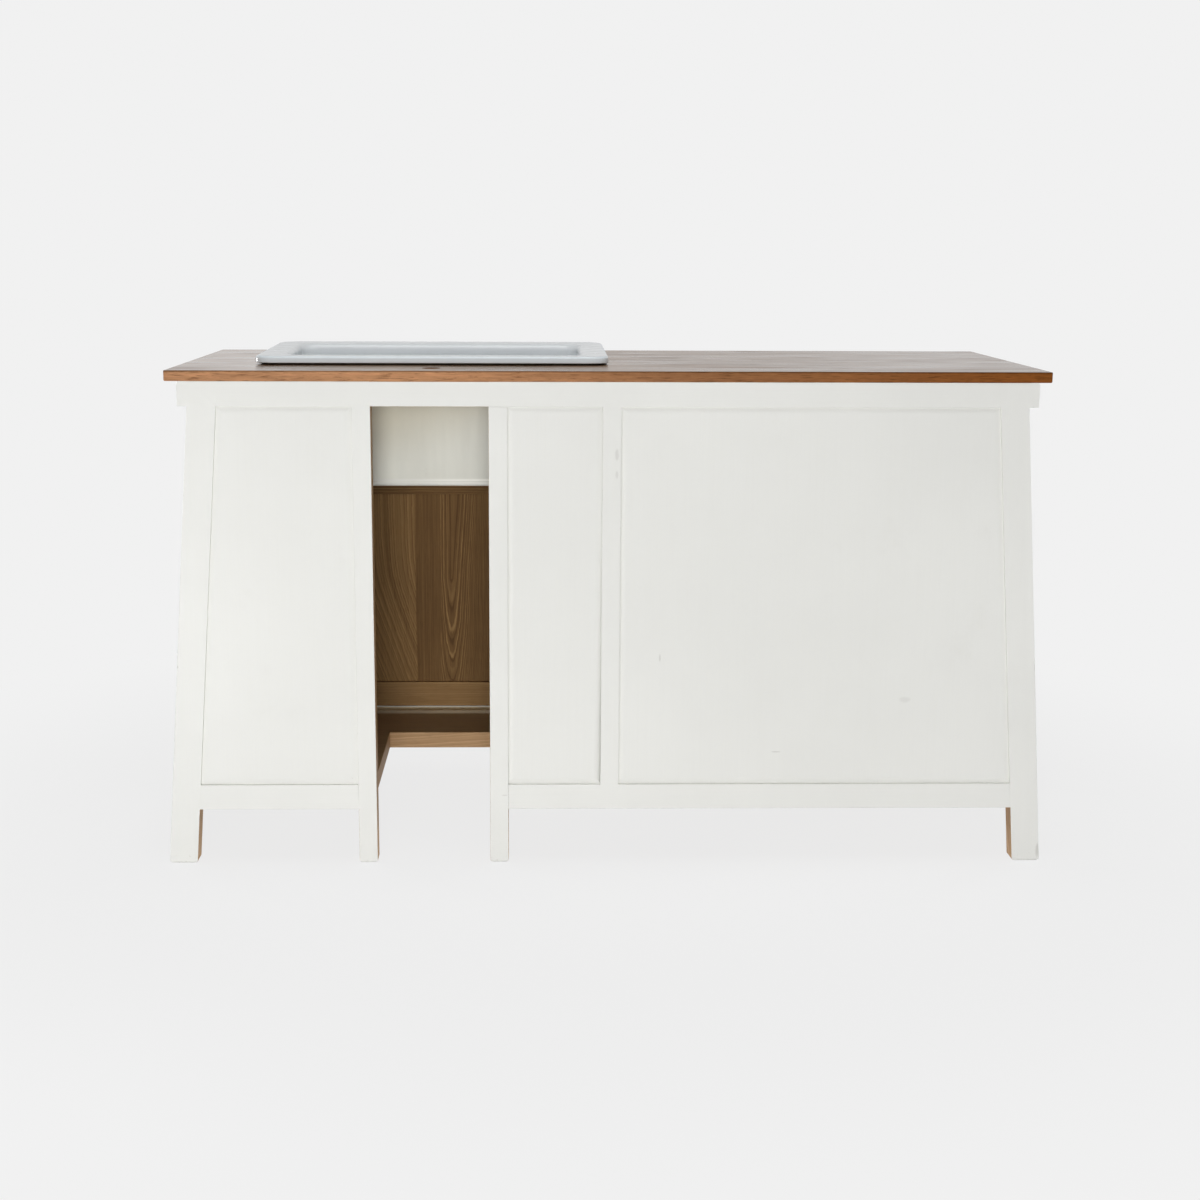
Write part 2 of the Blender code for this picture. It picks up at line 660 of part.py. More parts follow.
def make_tracks():
    """Double tracks under and over the doors, and the head rail that carries the upper one."""
    inside = SIDE_THICKNESS + TRACK_END_GAP
    tracks = {
        "lower_track": (TRACK_LOW, TRACK_LOW + TRACK_HEIGHT),
        "upper_track": (UPPER_TRACK_TOP, UPPER_TRACK_LOW),
    }
    for name, (base, open_edge) in tracks.items():
        end = half_length(max(base, open_edge)) - inside
        profile = track_profile(base, open_edge)
        loops = [[(x, y, z) for y, z in profile] for x in (-end, end)]
        add(name, loft(loops), "track_metal", "carcass")
    near = POST_DEPTH + FIT
    ends = (leaning(-1, SIDE_THICKNESS + FIT), leaning(1, SIDE_THICKNESS + FIT))
    head_rail = block(front_wall, *ends, HEAD_RAIL_LOW, BEARING, near, TRACK_BACK - FRONT)
    add("head_rail", head_rail, "brown_wood", "carcass")


def make_door(name, side, face):
    """Sliding door: an upright stile in the middle of the front and one that leans with the post."""
    wall = door_wall(side, face)
    outer = leaning(1, POST_WIDTH - DOOR_LAP)
    meeting = (upright(-DOOR_STILE / 2), upright(DOOR_STILE / 2))
    leaning_stile = (moved(outer, -DOOR_STILE), outer)
    stiles = (f"{name}_meeting_stile", f"{name}_outer_stile")
    for stile_name, edges in zip(stiles, (meeting, leaning_stile)):
        solid = block(wall, *edges, DOOR_LOW, DOOR_TOP, 0, DOOR_THICKNESS)
        add(stile_name, solid, "white_paint", name)
    span = (meeting[1], leaning_stile[0])
    heights = {
        f"{name}_bottom_rail": (DOOR_LOW, DOOR_LOW + DOOR_RAIL),
        f"{name}_top_rail": (DOOR_TOP - DOOR_RAIL, DOOR_TOP),
    }
    for rail_name, (low, high) in heights.items():
        rail(rail_name, wall, *span, low, high, DOOR_THICKNESS, "white_paint", name, stiles)
    near = (DOOR_THICKNESS - DOOR_PANEL) / 2
    opening = (DOOR_LOW + DOOR_RAIL, DOOR_TOP - DOOR_RAIL)
    tongue = groove(wall, *span, *opening, near, near + DOOR_PANEL, (*stiles, *heights))
    add(f"{name}_panel", block(wall, *tongue, near, near + DOOR_PANEL), "brown_wood", name)
    cut([stiles[1]], lambda: finger_pull(wall, outer))
    places = {
        "meeting": span[0](DOOR_LOW) + GLIDE_INSET,
        "outer": span[1](DOOR_LOW) - GLIDE_INSET,
    }
    for place, along in places.items():
        middle = wall(along, DOOR_THICKNESS / 2, DOOR_LOW)
        add(f"{name}_{place}_glide", glide(middle), "nylon", name)
        cut([f"{name}_bottom_rail"], lambda: glide(middle, FIT))


def finger_pull(wall, outer):
    """Round-ended recess in the front of a stile, in the width that the post leaves in view."""
    centre_z = (DOOR_LOW + DOOR_TOP) / 2
    centre = outer(centre_z) - (DOOR_STILE + DOOR_LAP) / 2
    plan = rounded_rectangle(PULL_WIDTH / 2, PULL_LENGTH / 2, PULL_WIDTH / 2 - FIT)
    depths = (-PULL_DEPTH, PULL_DEPTH)
    return loft([[wall(centre + x, depth, centre_z + z) for x, z in plan] for depth in depths])


def glide(middle, grow=0.0):
    """Shoe under a door, or with some growth its mortise."""
    x, y, z = middle
    half = (GLIDE_LENGTH / 2 + grow, GLIDE_WIDTH / 2 + grow)
    plan = rounded_rectangle(*half, half[1] - FIT)
    return loft([level_loop(plan, x, y, h) for h in (z - GLIDE_PROUD - grow, z + GLIDE_SEAT + grow)])


def make_drawer():
    """Drawer over the storage side: a fielded front, a box, and the runners that carry it."""
    left = moved(leaning(-1, POST_WIDTH), DRAWER_GAP)
    right = upright(STILE_X - STILE_WIDTH / 2 - DRAWER_GAP)
    low, high = BEARING + DRAWER_GAP, TOP_RAIL_LOW - DRAWER_GAP
    field = (moved(left, BEVEL_WIDTH), moved(right, -BEVEL_WIDTH), low + BEVEL_WIDTH, high - BEVEL_WIDTH)
    loops = [
        outline(front_wall, left, right, low, high, DRAWER_FRONT),
        outline(front_wall, left, right, low, high, BEVEL_DROP),
        outline(front_wall, *field, 0),
    ]
    add("drawer_front", loft(loops), "white_paint", "drawer")

    bottom = BEARING + FIT
    top = TOP_RAIL_LOW - DRAWER_HEADROOM
    start = FRONT + DRAWER_FRONT + FIT
    end = start + DRAWER_LENGTH
    box_left = leaning(-1, POST_WIDTH)(top) + DRAWER_SIDE_GAP
    box_right = STILE_X - STILE_WIDTH / 2 - DRAWER_SIDE_GAP
    inner = (box_left + DRAWER_SIDE, box_right - DRAWER_SIDE)
    sides = {
        "drawer_left_side": (box_left, inner[0]),
        "drawer_right_side": (inner[1], box_right),
    }
    for name, (x0, x1) in sides.items():
        add(name, box((x0, start, bottom), (x1, end, top)), "brown_wood", "drawer")
    tray_low = bottom + DRAWER_BOTTOM_SET
    tray_top = tray_low + DRAWER_BOTTOM
    reach = (inner[0] - DRAWER_GROOVE, inner[1] + DRAWER_GROOVE)
    tray = box((reach[0], start, tray_low), (reach[1], end, tray_top))
    add("drawer_bottom", tray, "brown_wood", "drawer")
    groove_low = (reach[0] - FIT, start - FIT, tray_low - FIT)
    groove_high = (reach[1] + FIT, end + FIT, tray_top + FIT)
    cut(sides, lambda: box(groove_low, groove_high))
    back_low = (inner[0] + FIT, end - DRAWER_SIDE, tray_top + FIT)
    add("drawer_back", box(back_low, (inner[1] - FIT, end, top)), "brown_wood", "drawer")

    middle_z = (low + high) / 2
    places = {"left": left(middle_z) + KNOB_INSET, "right": right(middle_z) - KNOB_INSET}
    for hand, x in places.items():
        add(f"drawer_knob_{hand}", knob(x, middle_z), "aged_brass", "drawer")
    make_runners(box_left, box_right)


def knob(x, z):
    """Turned knob on the drawer's front: a collar, a neck and a domed head."""
    radius = KNOB_DIAMETER / 2
    head = KNOB_LENGTH - radius
    profile = [
        (FIT, KNOB_COLLAR),
        (FIT + KNOB_COLLAR_HEIGHT, KNOB_NECK),
        (head - KNOB_UNDERCUT, KNOB_NECK),
        *((head + out, 2 * across) for across, out in arc((0, 0), radius, 0, KNOB_DOME)),
    ]
    loops = []
    for out, diameter in profile:
        loops.append([(x + px, FRONT - out, z + pz) for px, pz in disc(diameter)])
    return loft(loops)


def make_runners(box_left, box_right):
    """Runners with a ledge under each side of the drawer and a guide beside it, and their batten."""
    rear = BACK_INSIDE - FIT
    front = TRACK_BACK + FIT
    batten_front = rear - BEARER
    partition_face = STILE_X - PARTITION_THICKNESS / 2
    low = BEARING - RUNNER_HEIGHT
    batten_depths = (BACK - rear, BACK - batten_front)
    ends = (leaning(-1, SIDE_THICKNESS + FIT), upright(partition_face - FIT))
    batten = block(back_wall, *ends, low, BEARING, *batten_depths)
    add("runner_batten", batten, "raw_wood", "carcass")
    for hand, face, outwards in (("left", box_left, -1), ("right", box_right, 1)):
        guide = face + outwards * RUNNER_CLEARANCE
        outer = guide + outwards * RUNNER_GUIDE
        inner = face - outwards * RUNNER_LEDGE
        lip = BEARING + RUNNER_LIP
        profile = [
            (inner, low),
            (outer, low),
            (outer, lip),
            (guide, lip),
            (guide, BEARING),
            (inner, BEARING),
        ]
        loops = [[(x, y, z) for x, z in profile] for y in (front, batten_front - FIT)]
        add(f"drawer_runner_{hand}", loft(loops), "raw_wood", "carcass")


# Objects


def make_finish(name):
    """Principled material of one finish."""
    colour, roughness, metallic = FINISHES[name]
    material = bpy.data.materials.new(name)
    material.use_nodes = True
    shader = material.node_tree.nodes["Principled BSDF"]
    shader.inputs["Base Color"].default_value = (*colour, 1.0)
    shader.inputs["Roughness"].default_value = roughness
    shader.inputs["Metallic"].default_value = metallic
    return material


def mesh_object(name, solids, parent):
    """Object made of closed solids, with its origin in the middle of their box."""
    mesh = bpy.data.meshes.new(name)
    whole = bmesh.new()
    for solid in solids:
        solid.to_mesh(mesh)
        whole.from_mesh(mesh)
        solid.free()
    points = [v.co for v in whole.verts]
    low = Vector(min(p[i] for p in points) for i in range(3))
    high = Vector(max(p[i] for p in points) for i in range(3))
    origin = (low + high) / 2
    bmesh.ops.translate(whole, verts=whole.verts, vec=-origin)
    whole.to_mesh(mesh)
    whole.free()
    obj = bpy.data.objects.new(name, mesh)
    bpy.context.scene.collection.objects.link(obj)
    obj.parent = parent
    obj.location = origin - parent.location
    return obj


def assemble():
    """Turns the pieces into objects on their bodies, with their cuts as Boolean modifiers."""
    finishes = {name: make_finish(name) for name in FINISHES}
    bodies = {}
    axes = {
        "carcass": (0, 0, 0),
        "sink_door": (0, FRONT_LANE + DOOR_THICKNESS / 2, DOOR_LOW),
        "storage_door": (0, REAR_LANE + DOOR_THICKNESS / 2, DOOR_LOW),
        "drawer": (0, FRONT, BEARING),
    }
    for name, place in axes.items():
        bodies[name] = bpy.data.objects.new(name, None)
        bpy.context.scene.collection.objects.link(bodies[name])
        bodies[name].location = place
    for name, (solid, finish, body) in pieces.items():
        obj = mesh_object(name, [solid], bodies[body])
        obj.data.materials.append(finishes[finish])
        if name == "basin" or "knob" in name:
            obj.data.shade_smooth()
            obj.data.set_sharp_from_angle(angle=SMOOTH_ANGLE)
        if name in cuts:
            tool = mesh_object(f"cut_{name}", cuts[name], bodies[body])
            tool.hide_render = True
            tool.display_type = "WIRE"
            boolean = obj.modifiers.new("joints", "BOOLEAN")
            boolean.operation = "DIFFERENCE"
            boolean.solver = "EXACT"
            boolean.object = tool


def main():
    for obj in list(bpy.data.objects):
        bpy.data.objects.remove(obj)
    make_posts()
    make_back()
    make_sides()
    make_front()
    make_worktop()
    make_basin()
    make_floor()
    make_partition()
    make_tracks()
    make_door("sink_door", 1, FRONT_LANE)
    make_door("storage_door", -1, REAR_LANE)
    make_drawer()
    assemble()


main()
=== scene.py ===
"""Looks of the vanity unit: every solid of the frame with its arrises eased, painted, stained or
glazed, on a plain pale floor, seen from the back as in the photograph.

Lengths are in metres, in the frame's own axes: +Z is up and the back of the unit faces +Y.
"""

import json
import math
from collections import namedtuple

import bmesh
import bpy
from mathutils import Matrix, Vector
from mathutils.bvhtree import BVHTree

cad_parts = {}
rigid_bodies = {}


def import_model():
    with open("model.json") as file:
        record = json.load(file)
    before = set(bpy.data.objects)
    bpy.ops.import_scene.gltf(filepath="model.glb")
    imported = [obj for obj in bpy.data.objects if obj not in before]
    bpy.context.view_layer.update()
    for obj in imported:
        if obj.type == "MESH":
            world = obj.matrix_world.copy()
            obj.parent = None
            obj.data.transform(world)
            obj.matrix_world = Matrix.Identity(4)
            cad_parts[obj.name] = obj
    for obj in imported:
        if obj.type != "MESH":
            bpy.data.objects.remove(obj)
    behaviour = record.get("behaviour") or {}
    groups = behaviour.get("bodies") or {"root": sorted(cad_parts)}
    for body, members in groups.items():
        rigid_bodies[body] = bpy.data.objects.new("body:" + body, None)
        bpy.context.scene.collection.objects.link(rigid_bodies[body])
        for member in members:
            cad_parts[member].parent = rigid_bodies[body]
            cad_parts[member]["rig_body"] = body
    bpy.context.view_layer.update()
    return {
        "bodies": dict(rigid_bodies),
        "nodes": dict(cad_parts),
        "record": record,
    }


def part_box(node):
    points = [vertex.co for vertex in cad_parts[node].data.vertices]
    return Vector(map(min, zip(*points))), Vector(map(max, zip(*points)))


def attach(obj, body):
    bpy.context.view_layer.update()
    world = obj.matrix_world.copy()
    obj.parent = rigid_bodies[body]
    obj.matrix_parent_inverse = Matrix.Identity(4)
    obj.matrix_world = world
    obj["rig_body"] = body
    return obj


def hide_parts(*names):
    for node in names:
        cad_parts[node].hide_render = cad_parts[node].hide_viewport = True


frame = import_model()

MM = 0.001

# Camera: a pinhole fitted to the worktop's corners, the posts and the rails in the photograph
IMAGE_WIDTH = 1200  # pixels
FOCAL_LENGTH = 1838  # pixels
AXIS_X = 573.7  # pixel column of the optical axis
SENSOR = 36  # millimetres
CAMERA_PLACE = Vector((0.1250, 3.4082, 1.0823))
CAMERA_PITCH = math.radians(11.074)  # downwards
CAMERA_YAW = math.radians(1.197)
CAMERA_ROLL = math.radians(0.220)

# Light
BACKGROUND = 0.879  # what the camera sees past the object
MIRRORED = 0.82  # what glossy surfaces mirror of it
AMBIENT = 0.05
FLOOR_SIZE = 30.0
FLOOR_SHADE = 0.10  # share of the floor's own shading that the camera sees near the object
FLOOR_FADE = (0.8, 1.75)  # distances over which that shading fades out
LAMPS = {  # place, width, height, power in watts
    "camera_side": ((0.25, 5.4, 0.87), 1.9, 1.9, 130),
    "overhead": ((0.0, 0.8, 4.5), 3.0, 3.0, 72),
    "low_right": ((1.0, 1.5, 0.2), 0.4, 0.4, 2.8),
    "low_left": ((-1.1, 1.5, 0.1), 0.4, 0.4, 0.8),
    "front_left": ((-4.9, -3.3, 0.42), 2.0, 0.8, 195),
    "front_right": ((4.9, -3.3, 0.42), 2.0, 0.8, 195),
}
LAMP_TARGET = Vector((0.0, 0.0, 0.5))
GLARING = "camera_side"  # lamp that glossy surfaces don't mirror, so that the worktop has no glare

# Planes of the frame
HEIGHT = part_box("worktop")[1][2]
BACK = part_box("back_left_post")[1][1]
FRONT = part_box("front_left_post")[0][1]
HALF_AT_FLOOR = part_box("back_right_post")[1][0]
SPLAY = 61 / 848  # sideways lean of the sides for each metre of height
RAIL_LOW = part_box("left_bottom_rail")[0][2]
SLOT_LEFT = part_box("slot_stile_inner")[1][0]
SLOT_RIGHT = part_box("slot_stile_outer")[0][0]
PAINTED_DEPTH = 6.6 * MM  # of the edges round the panels, from the face of a frame
MARK_DEPTH = 12 * MM  # marks show no further than this from the plane of the back
RIM_GAP = 3.6 * MM  # between the basin's rim and the worktop
TRACK_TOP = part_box("lower_track")[1][2]
TRACK_RIB = (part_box("lower_track")[0][1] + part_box("lower_track")[1][1]) / 2
TRACK_LANE = 36 * MM  # from the rib to the lips
BOWL_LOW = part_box("basin")[0][2]
BASIN_MIDDLE = Vector(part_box("basin")[0]).lerp(Vector(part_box("basin")[1]), 0.5)

# Shapes
MERGE = 0.005 * MM
FLAT = math.radians(0.4)  # faces this close to level with each other are one face
ARRIS = math.radians(25)  # edges sharper than this are arrises
SEAT = 0.6 * MM  # pieces this close are joined there
FILL = 0.28 * MM  # paint and glue that close the joints
FACE_PROBES = (0.04, 0.5)  # shares of the way from a face's corners to its middle
FACE_SEATED = 0.75  # share of these places that makes a face part of a joint
EDGE_PROBES = (0.2, 0.4, 0.6, 0.8)  # shares of an arris
EDGE_SEATED = 0.5  # share of these places that leaves an arris sharp
PROBE = 12 * MM  # distance between the places where an arris is tried for a joint
HALVINGS = 6  # steps that find the end of a joint between two such places
EASE = 1.0 * MM
TRACK_EASE = 0.4 * MM
EASE_STEPS = 2
SMOOTH = math.radians(40)

# Faces of a finished piece, as places in its list of materials
FACE, INSIDE, EDGE = 0, 1, 2
GAP_FACE = 2  # of the basin, which has no eased edges
LEVEL = 0.5  # a face whose normal goes this far along an axis faces that way
SHOWN = 0.35  # least turn towards a shown side that gets a face painted
UNDERSIDE = -0.3  # faces of the basin that look further down than this are outside it
BACKWARDS = Vector((0, 1, 0))

# Colours, linear
PAINT = (0.86, 0.86, 0.825)
PAINT_STROKE = (0.80, 0.795, 0.75)
PAINT_GRIME = (0.62, 0.60, 0.55)
PAINT_WORN = (0.50, 0.47, 0.41)
EDGE_WEAR = 0.35  # share of the arrises where the paint is worn
MARK = (0.42, 0.40, 0.37)
TOP_LEFT = (0.185, 0.060, 0.0115)  # stain of the worktop at the left end, as seen from the front
TOP_RIGHT = (0.42, 0.215, 0.108)
# darker tone of the upward faces, partly varnish and partly painted shade
VARNISH_AND_SHADE = (0.095, 0.066, 0.028)
BROWN_DARK = (0.130, 0.067, 0.027)
BROWN_LIGHT = (0.425, 0.255, 0.107)
RAIL_DARK = (0.244, 0.134, 0.056)
RAIL_LIGHT = (0.59, 0.375, 0.172)
BOARD_DARK = (0.31, 0.19, 0.092)
BOARD_LIGHT = (0.66, 0.45, 0.243)
RAW_DARK = (0.45, 0.27, 0.135)
RAW_LIGHT = (0.74, 0.51, 0.30)
GLAZE = (0.93, 0.965, 0.985)
# painted shade on the outward faces of the basin's rim
GLAZE_SHADED = (0.83, 0.90, 0.945)
BOWL_OUTSIDE = (0.92, 0.925, 0.835)
# yellowed glaze together with painted shade of the rail above, towards the top of the bowl
BOWL_YELLOWED_SHADED = (0.66, 0.62, 0.475)
BOWL_DIRT = (0.55, 0.52, 0.45)
# painted highlight on the rounded foot of the bowl
BOWL_LIP_HIGHLIGHT = (0.98, 0.98, 0.91)
# worn metal of the rib, made near-white as a painted highlight
METAL_AND_HIGHLIGHT = (0.95, 0.95, 0.88)
# tarnished tan of the lanes, lightened as painted light where the rear lip shades them
TARNISH_AND_LIGHT = (0.76, 0.63, 0.41)
# dirt in patches, and painted shade on the faces of the lips
TRACK_DIRT_AND_SHADE = (0.30, 0.22, 0.14)
# painted shadow in the gap under the basin's rim
GAP_SHADOW = (0.020, 0.017, 0.014)
BRASS = (0.50, 0.35, 0.15)
BRASS_DARK = (0.20, 0.12, 0.05)
NYLON = (0.70, 0.70, 0.67)
FLOOR_DARK = (0.84, 0.84, 0.84)
FLOOR_LIGHT = (0.87, 0.87, 0.87)

# Grain of wood
WOBBLE = 9 * MM
OWN_ACROSS = 3.0  # how far apart the pieces lie in the grain, at most
OWN_ALONG = 5.0
ARCH_SLOPE = 0.155  # how fast an arch narrows along the grain
POINT_SLOPE = 0.037  # the same for long points, where they begin
POINT_CURVE = 0.115  # and how much faster it gets with each metre
POINT_ROUND = 22 * MM
POINT_RINGS = (4.5, 7.0)  # rings between which the lines round a point grow faint
POINT_FAINT = 0.3
DRIFT_FROM = 0.43
DRIFT_BEND = 0.045

# Veneer leaves of the door panels: left edge, heart of the grain, height where its lines start to
# close in an arch and whether they do so upwards, downwards or never, how fast the lines run aside
# below DRIFT_FROM, how fast they lean over above the arch on the left of the heart, tone, contrast
# and spacing. A leaf whose lines lean over has long points for arches.
Leaf = namedtuple("Leaf", "edge heart turn way drift lean tone lines spacing")
LEAVES = (
    Leaf(-9.0, -0.60, 0.20, 1, 0.0, 0.0, 0.0, 0.4, 7 * MM),
    Leaf(-0.54, -0.47, 0.40, -1, 0.0, 0.08, 0.0, 0.45, 5 * MM),
    Leaf(-0.40, -0.05, 0.0, 0, 0.0, 0.0, -0.04, 0.12, 5 * MM),
    Leaf(-0.31, -0.23, 0.25, 1, 0.0, 0.0, 0.03, 0.4, 7 * MM),
    Leaf(-0.16, -0.11, 0.42, -1, 0.0, 0.1, 0.0, 0.45, 5 * MM),
    Leaf(-0.02, -0.20, 0.0, 0, 0.25, 0.0, 0.04, 0.4, 7.5 * MM),
    Leaf(0.14, 0.0, 0.0, 0, 0.0, 0.0, 0.0, 0.12, 5 * MM),
    Leaf(0.215, 0.2925, 0.42, -1, 0.0, 0.07, 0.03, 0.5, 3.2 * MM),
    Leaf(0.3155, 0.10, 0.0, 0, 0.0, 0.0, -0.01, 0.08, 5 * MM),
    # This leaf's tone of 0.23 is partly painted light, lifting the part of the panel that lies in
    # shade beside the slot.
    Leaf(0.3643, 0.20, 0.0, 0, 0.36, 0.0, 0.23, 0.4, 7.2 * MM),
    Leaf(0.53, 0.60, 0.42, -1, 0.0, 0.1, 0.0, 0.45, 5 * MM),
)
PLAIN_LEAF = Leaf(-9.0, 1.55, 0.9, 1, 0.0, 0.0, 0.0, 0.28, 7 * MM)
STRAIGHT_LEAF = Leaf(-9.0, 1.55, 0.0, 0, 0.0, 0.0, 0.0, 0.15, 4 * MM)

# Marks on the back: place along X and Z, half width, half height, strength
MARKS = (
    (0.745, 0.356, 0.002, 0.004, 0.6),
    (-0.090, 0.371, 0.0015, 0.009, 0.35),
    (-0.296, 0.202, 0.010, 0.0014, 0.35),
    (-0.0125, 0.725, 0.004, 0.012, 0.25),
    (-0.0128, 0.691, 0.003, 0.008, 0.22),
    (-0.520, 0.296, 0.012, 0.006, 0.15),
    (-0.767, 0.020, 0.004, 0.016, 0.4),
    (0.180, 0.124, 0.006, 0.001, 0.4),
    (0.437, 0.083, 0.0015, 0.005, 0.35),
    (0.173, 0.023, 0.0015, 0.010, 0.4),
)


def scaled(colour, share):
    return tuple(share * c for c in colour)


class Graph:
    """Nodes of one material, fed by the surface's place in the part's frame."""

    def __init__(self, name):
        self.material = bpy.data.materials.new(name)
        self.material.use_nodes = True
        self.nodes = self.material.node_tree.nodes
        self.links = self.material.node_tree.links
        self.shader = self.nodes["Principled BSDF"]
        self.place = self.add("TexCoord").outputs["Object"]
        split = self.add("SeparateXYZ", {0: self.place})
        self.x, self.y, self.z = split.outputs

    def add(self, kind, inputs=None, **settings):
        node = self.nodes.new("ShaderNode" + kind)
        for key, value in settings.items():
            setattr(node, key, value)
        for key, value in (inputs or {}).items():
            self.feed(node.inputs[key], value)
        return node

    def feed(self, socket, value):
        if isinstance(value, bpy.types.NodeSocket):
            self.links.new(value, socket)
        else:
            socket.default_value = value

    def math(self, operation, a, b=0.0):
        return self.add("Math", {0: a, 1: b}, operation=operation).outputs[0]

    def square(self, value):
        return self.math("MULTIPLY", value, value)

    def vector(self, operation, a, b, output="Vector"):
        return self.add("VectorMath", {0: a, 1: b}, operation=operation).outputs[output]

    def span(self, value, low, high, start=0.0, end=1.0):
        """Smooth step from start to end while value goes from low to high."""
        inputs = {0: value, 1: low, 2: high, 3: start, 4: end}
        return self.add("MapRange", inputs, interpolation_type="SMOOTHSTEP").outputs[0]

    def band(self, value, start, full, fall, end):
        """1 between full and fall, 0 below start and above end."""
        rising = self.span(value, start, full)
        return self.math("MULTIPLY", rising, self.span(value, fall, end, 1.0, 0.0))

    def number(self, factor, a, b):
        return self.add("Mix", {0: factor, 2: a, 3: b}, data_type="FLOAT").outputs[0]

    def colour(self, factor, a, b, blend="MIX"):
        a, b = ((*c, 1.0) if isinstance(c, tuple) else c for c in (a, b))
        return self.add("Mix", {0: factor, 6: a, 7: b}, data_type="RGBA", blend_type=blend).outputs[2]

    def noise(self, scale, detail=2.0, roughness=0.5):
        """Noise with so many features to the metre along each axis."""
        if isinstance(scale, (int, float)):
            scale = (scale,) * 3
        place = self.vector("MULTIPLY", self.place, scale)
        inputs = {"Vector": place, "Scale": 1.0, "Detail": detail, "Roughness": roughness}
        return self.add("TexNoise", inputs).outputs[0]

    def line_noise(self, value, scale, detail):
        """Noise along a single value."""
        inputs = {"W": value, "Scale": scale, "Detail": detail}
        return self.add("TexNoise", inputs, noise_dimensions="1D").outputs[0]

    def stretched(self, grain, along, across, detail=2.0, roughness=0.5):
        """Noise drawn out along the grain."""
        scale = tuple(along if axis == grain else across for axis in "XYZ")
        return self.noise(scale, detail, roughness)

    def normal(self):
        return self.add("NewGeometry").outputs["Normal"]

    def bump(self, height, distance, strength=1.0):
        inputs = {"Height": height, "Distance": distance, "Strength": strength}
        self.feed(self.shader.inputs["Normal"], self.add("Bump", inputs).outputs[0])

    def finish(self, **inputs):
        for key, value in inputs.items():
            value = (*value, 1.0) if isinstance(value, tuple) else value
            self.feed(self.shader.inputs[key.replace("_", " ")], value)
        return self.material


def own_offset(g, reach):
    """Offset of a piece's grain, different for each object."""
    random = g.add("ObjectInfo").outputs["Random"]
    return g.math("MULTIPLY", random, reach)


def pointed_rings(g, distance, rise, spacing):
    """Number of growth rings where they close in long points with a rounded tip."""
    side = g.math("SQRT", g.math("ADD", g.square(distance), POINT_ROUND ** 2))
    side = g.math("SUBTRACT", side, POINT_ROUND)
    slope = g.math("ADD", g.math("MULTIPLY", rise, POINT_CURVE), POINT_SLOPE)
    return g.math("DIVIDE", g.math("ADD", side, g.math("MULTIPLY", rise, slope)), spacing)


def leaf_rings(g, across, along, leaf):
    """Number of growth rings from the heart of one leaf's grain."""
    sideways = g.math("SUBTRACT", across, leaf.heart)
    if leaf.drift:
        below = g.math("SUBTRACT", DRIFT_FROM, along)
        bend = g.math("SQRT", g.math("ADD", g.square(below), DRIFT_BEND ** 2))
        run = g.math("ADD", bend, below)
        sideways = g.math("ADD", sideways, g.math("MULTIPLY", run, leaf.drift / 2))
    lean = g.math("MAXIMUM", g.math("SUBTRACT", along, leaf.turn), 0.0)
    lean = g.math("MULTIPLY", lean, leaf.lean)
    left = g.math("MULTIPLY", g.math("ADD", sideways, lean), -1.0)
    distance = g.math("MAXIMUM", g.math("MAXIMUM", sideways, left), 0.0)
    rise = g.math("MULTIPLY", g.math("SUBTRACT", along, leaf.turn), leaf.way)
    rise = g.math("MAXIMUM", rise, 0.0)
    if leaf.lean:
        return pointed_rings(g, distance, rise, leaf.spacing)
    rise = g.math("MULTIPLY", rise, ARCH_SLOPE)
    squares = g.math("ADD", g.square(distance), g.square(rise))
    return g.math("DIVIDE", g.math("SQRT", squares), leaf.spacing)


def growth_rings(g, across, along, leaves):
    """Number of growth rings from the heart of the grain, tone and contrast, leaf by leaf."""
    rings, tone, lines = 0.0, 0.0, 0.0
    for leaf in leaves:
        past = g.math("GREATER_THAN", across, leaf.edge)
        count = leaf_rings(g, across, along, leaf)
        contrast = leaf.lines
        if leaf.lean:
            contrast = g.span(count, *POINT_RINGS, leaf.lines, POINT_FAINT * leaf.lines)
        rings = g.number(past, rings, count)
        tone = g.number(past, tone, leaf.tone)
        lines = g.number(past, lines, contrast)
    return rings, tone, lines


def painted_lip(g):
    """1 on the narrow edges round the panels, which are painted with the faces."""
    depth = g.math("SUBTRACT", BACK, g.y)
    depth = g.math("MINIMUM", depth, g.math("SUBTRACT", g.y, FRONT))
    half = g.math("SUBTRACT", HALF_AT_FLOOR, g.math("MULTIPLY", g.z, SPLAY))
    depth = g.math("MINIMUM", depth, g.math("SUBTRACT", half, g.math("ABSOLUTE", g.x)))
    off_slot = g.math("ABSOLUTE", g.math("SUBTRACT", g.x, (SLOT_LEFT + SLOT_RIGHT) / 2))
    off_slot = g.math("GREATER_THAN", off_slot, (SLOT_RIGHT - SLOT_LEFT) / 2 + MM)
    off_slot = g.math("MAXIMUM", off_slot, g.math("LESS_THAN", g.y, 0.0))
    above_feet = g.math("GREATER_THAN", g.z, RAIL_LOW)
    lip = g.math("LESS_THAN", depth, PAINTED_DEPTH)
    return g.math("MULTIPLY", lip, g.math("MULTIPLY", off_slot, above_feet))


def grain_place(g, grain, own):
    """Place along and across the grain. Each piece with its own grain has another one."""
    along, across = {
        "X": (g.x, g.math("ADD", g.y, g.z)),
        "Y": (g.y, g.math("ADD", g.x, g.z)),
        "Z": (g.z, g.math("ADD", g.x, g.y) if own else g.x),
    }[grain]
    if own:
        across = g.math("ADD", across, own_offset(g, OWN_ACROSS))
        along = g.math("ADD", along, own_offset(g, OWN_ALONG))
    wobble = g.math("SUBTRACT", g.stretched(grain, 2.0, 14.0, 3.0, 0.55), 0.5)
    return along, g.math("ADD", across, g.math("MULTIPLY", wobble, WOBBLE))


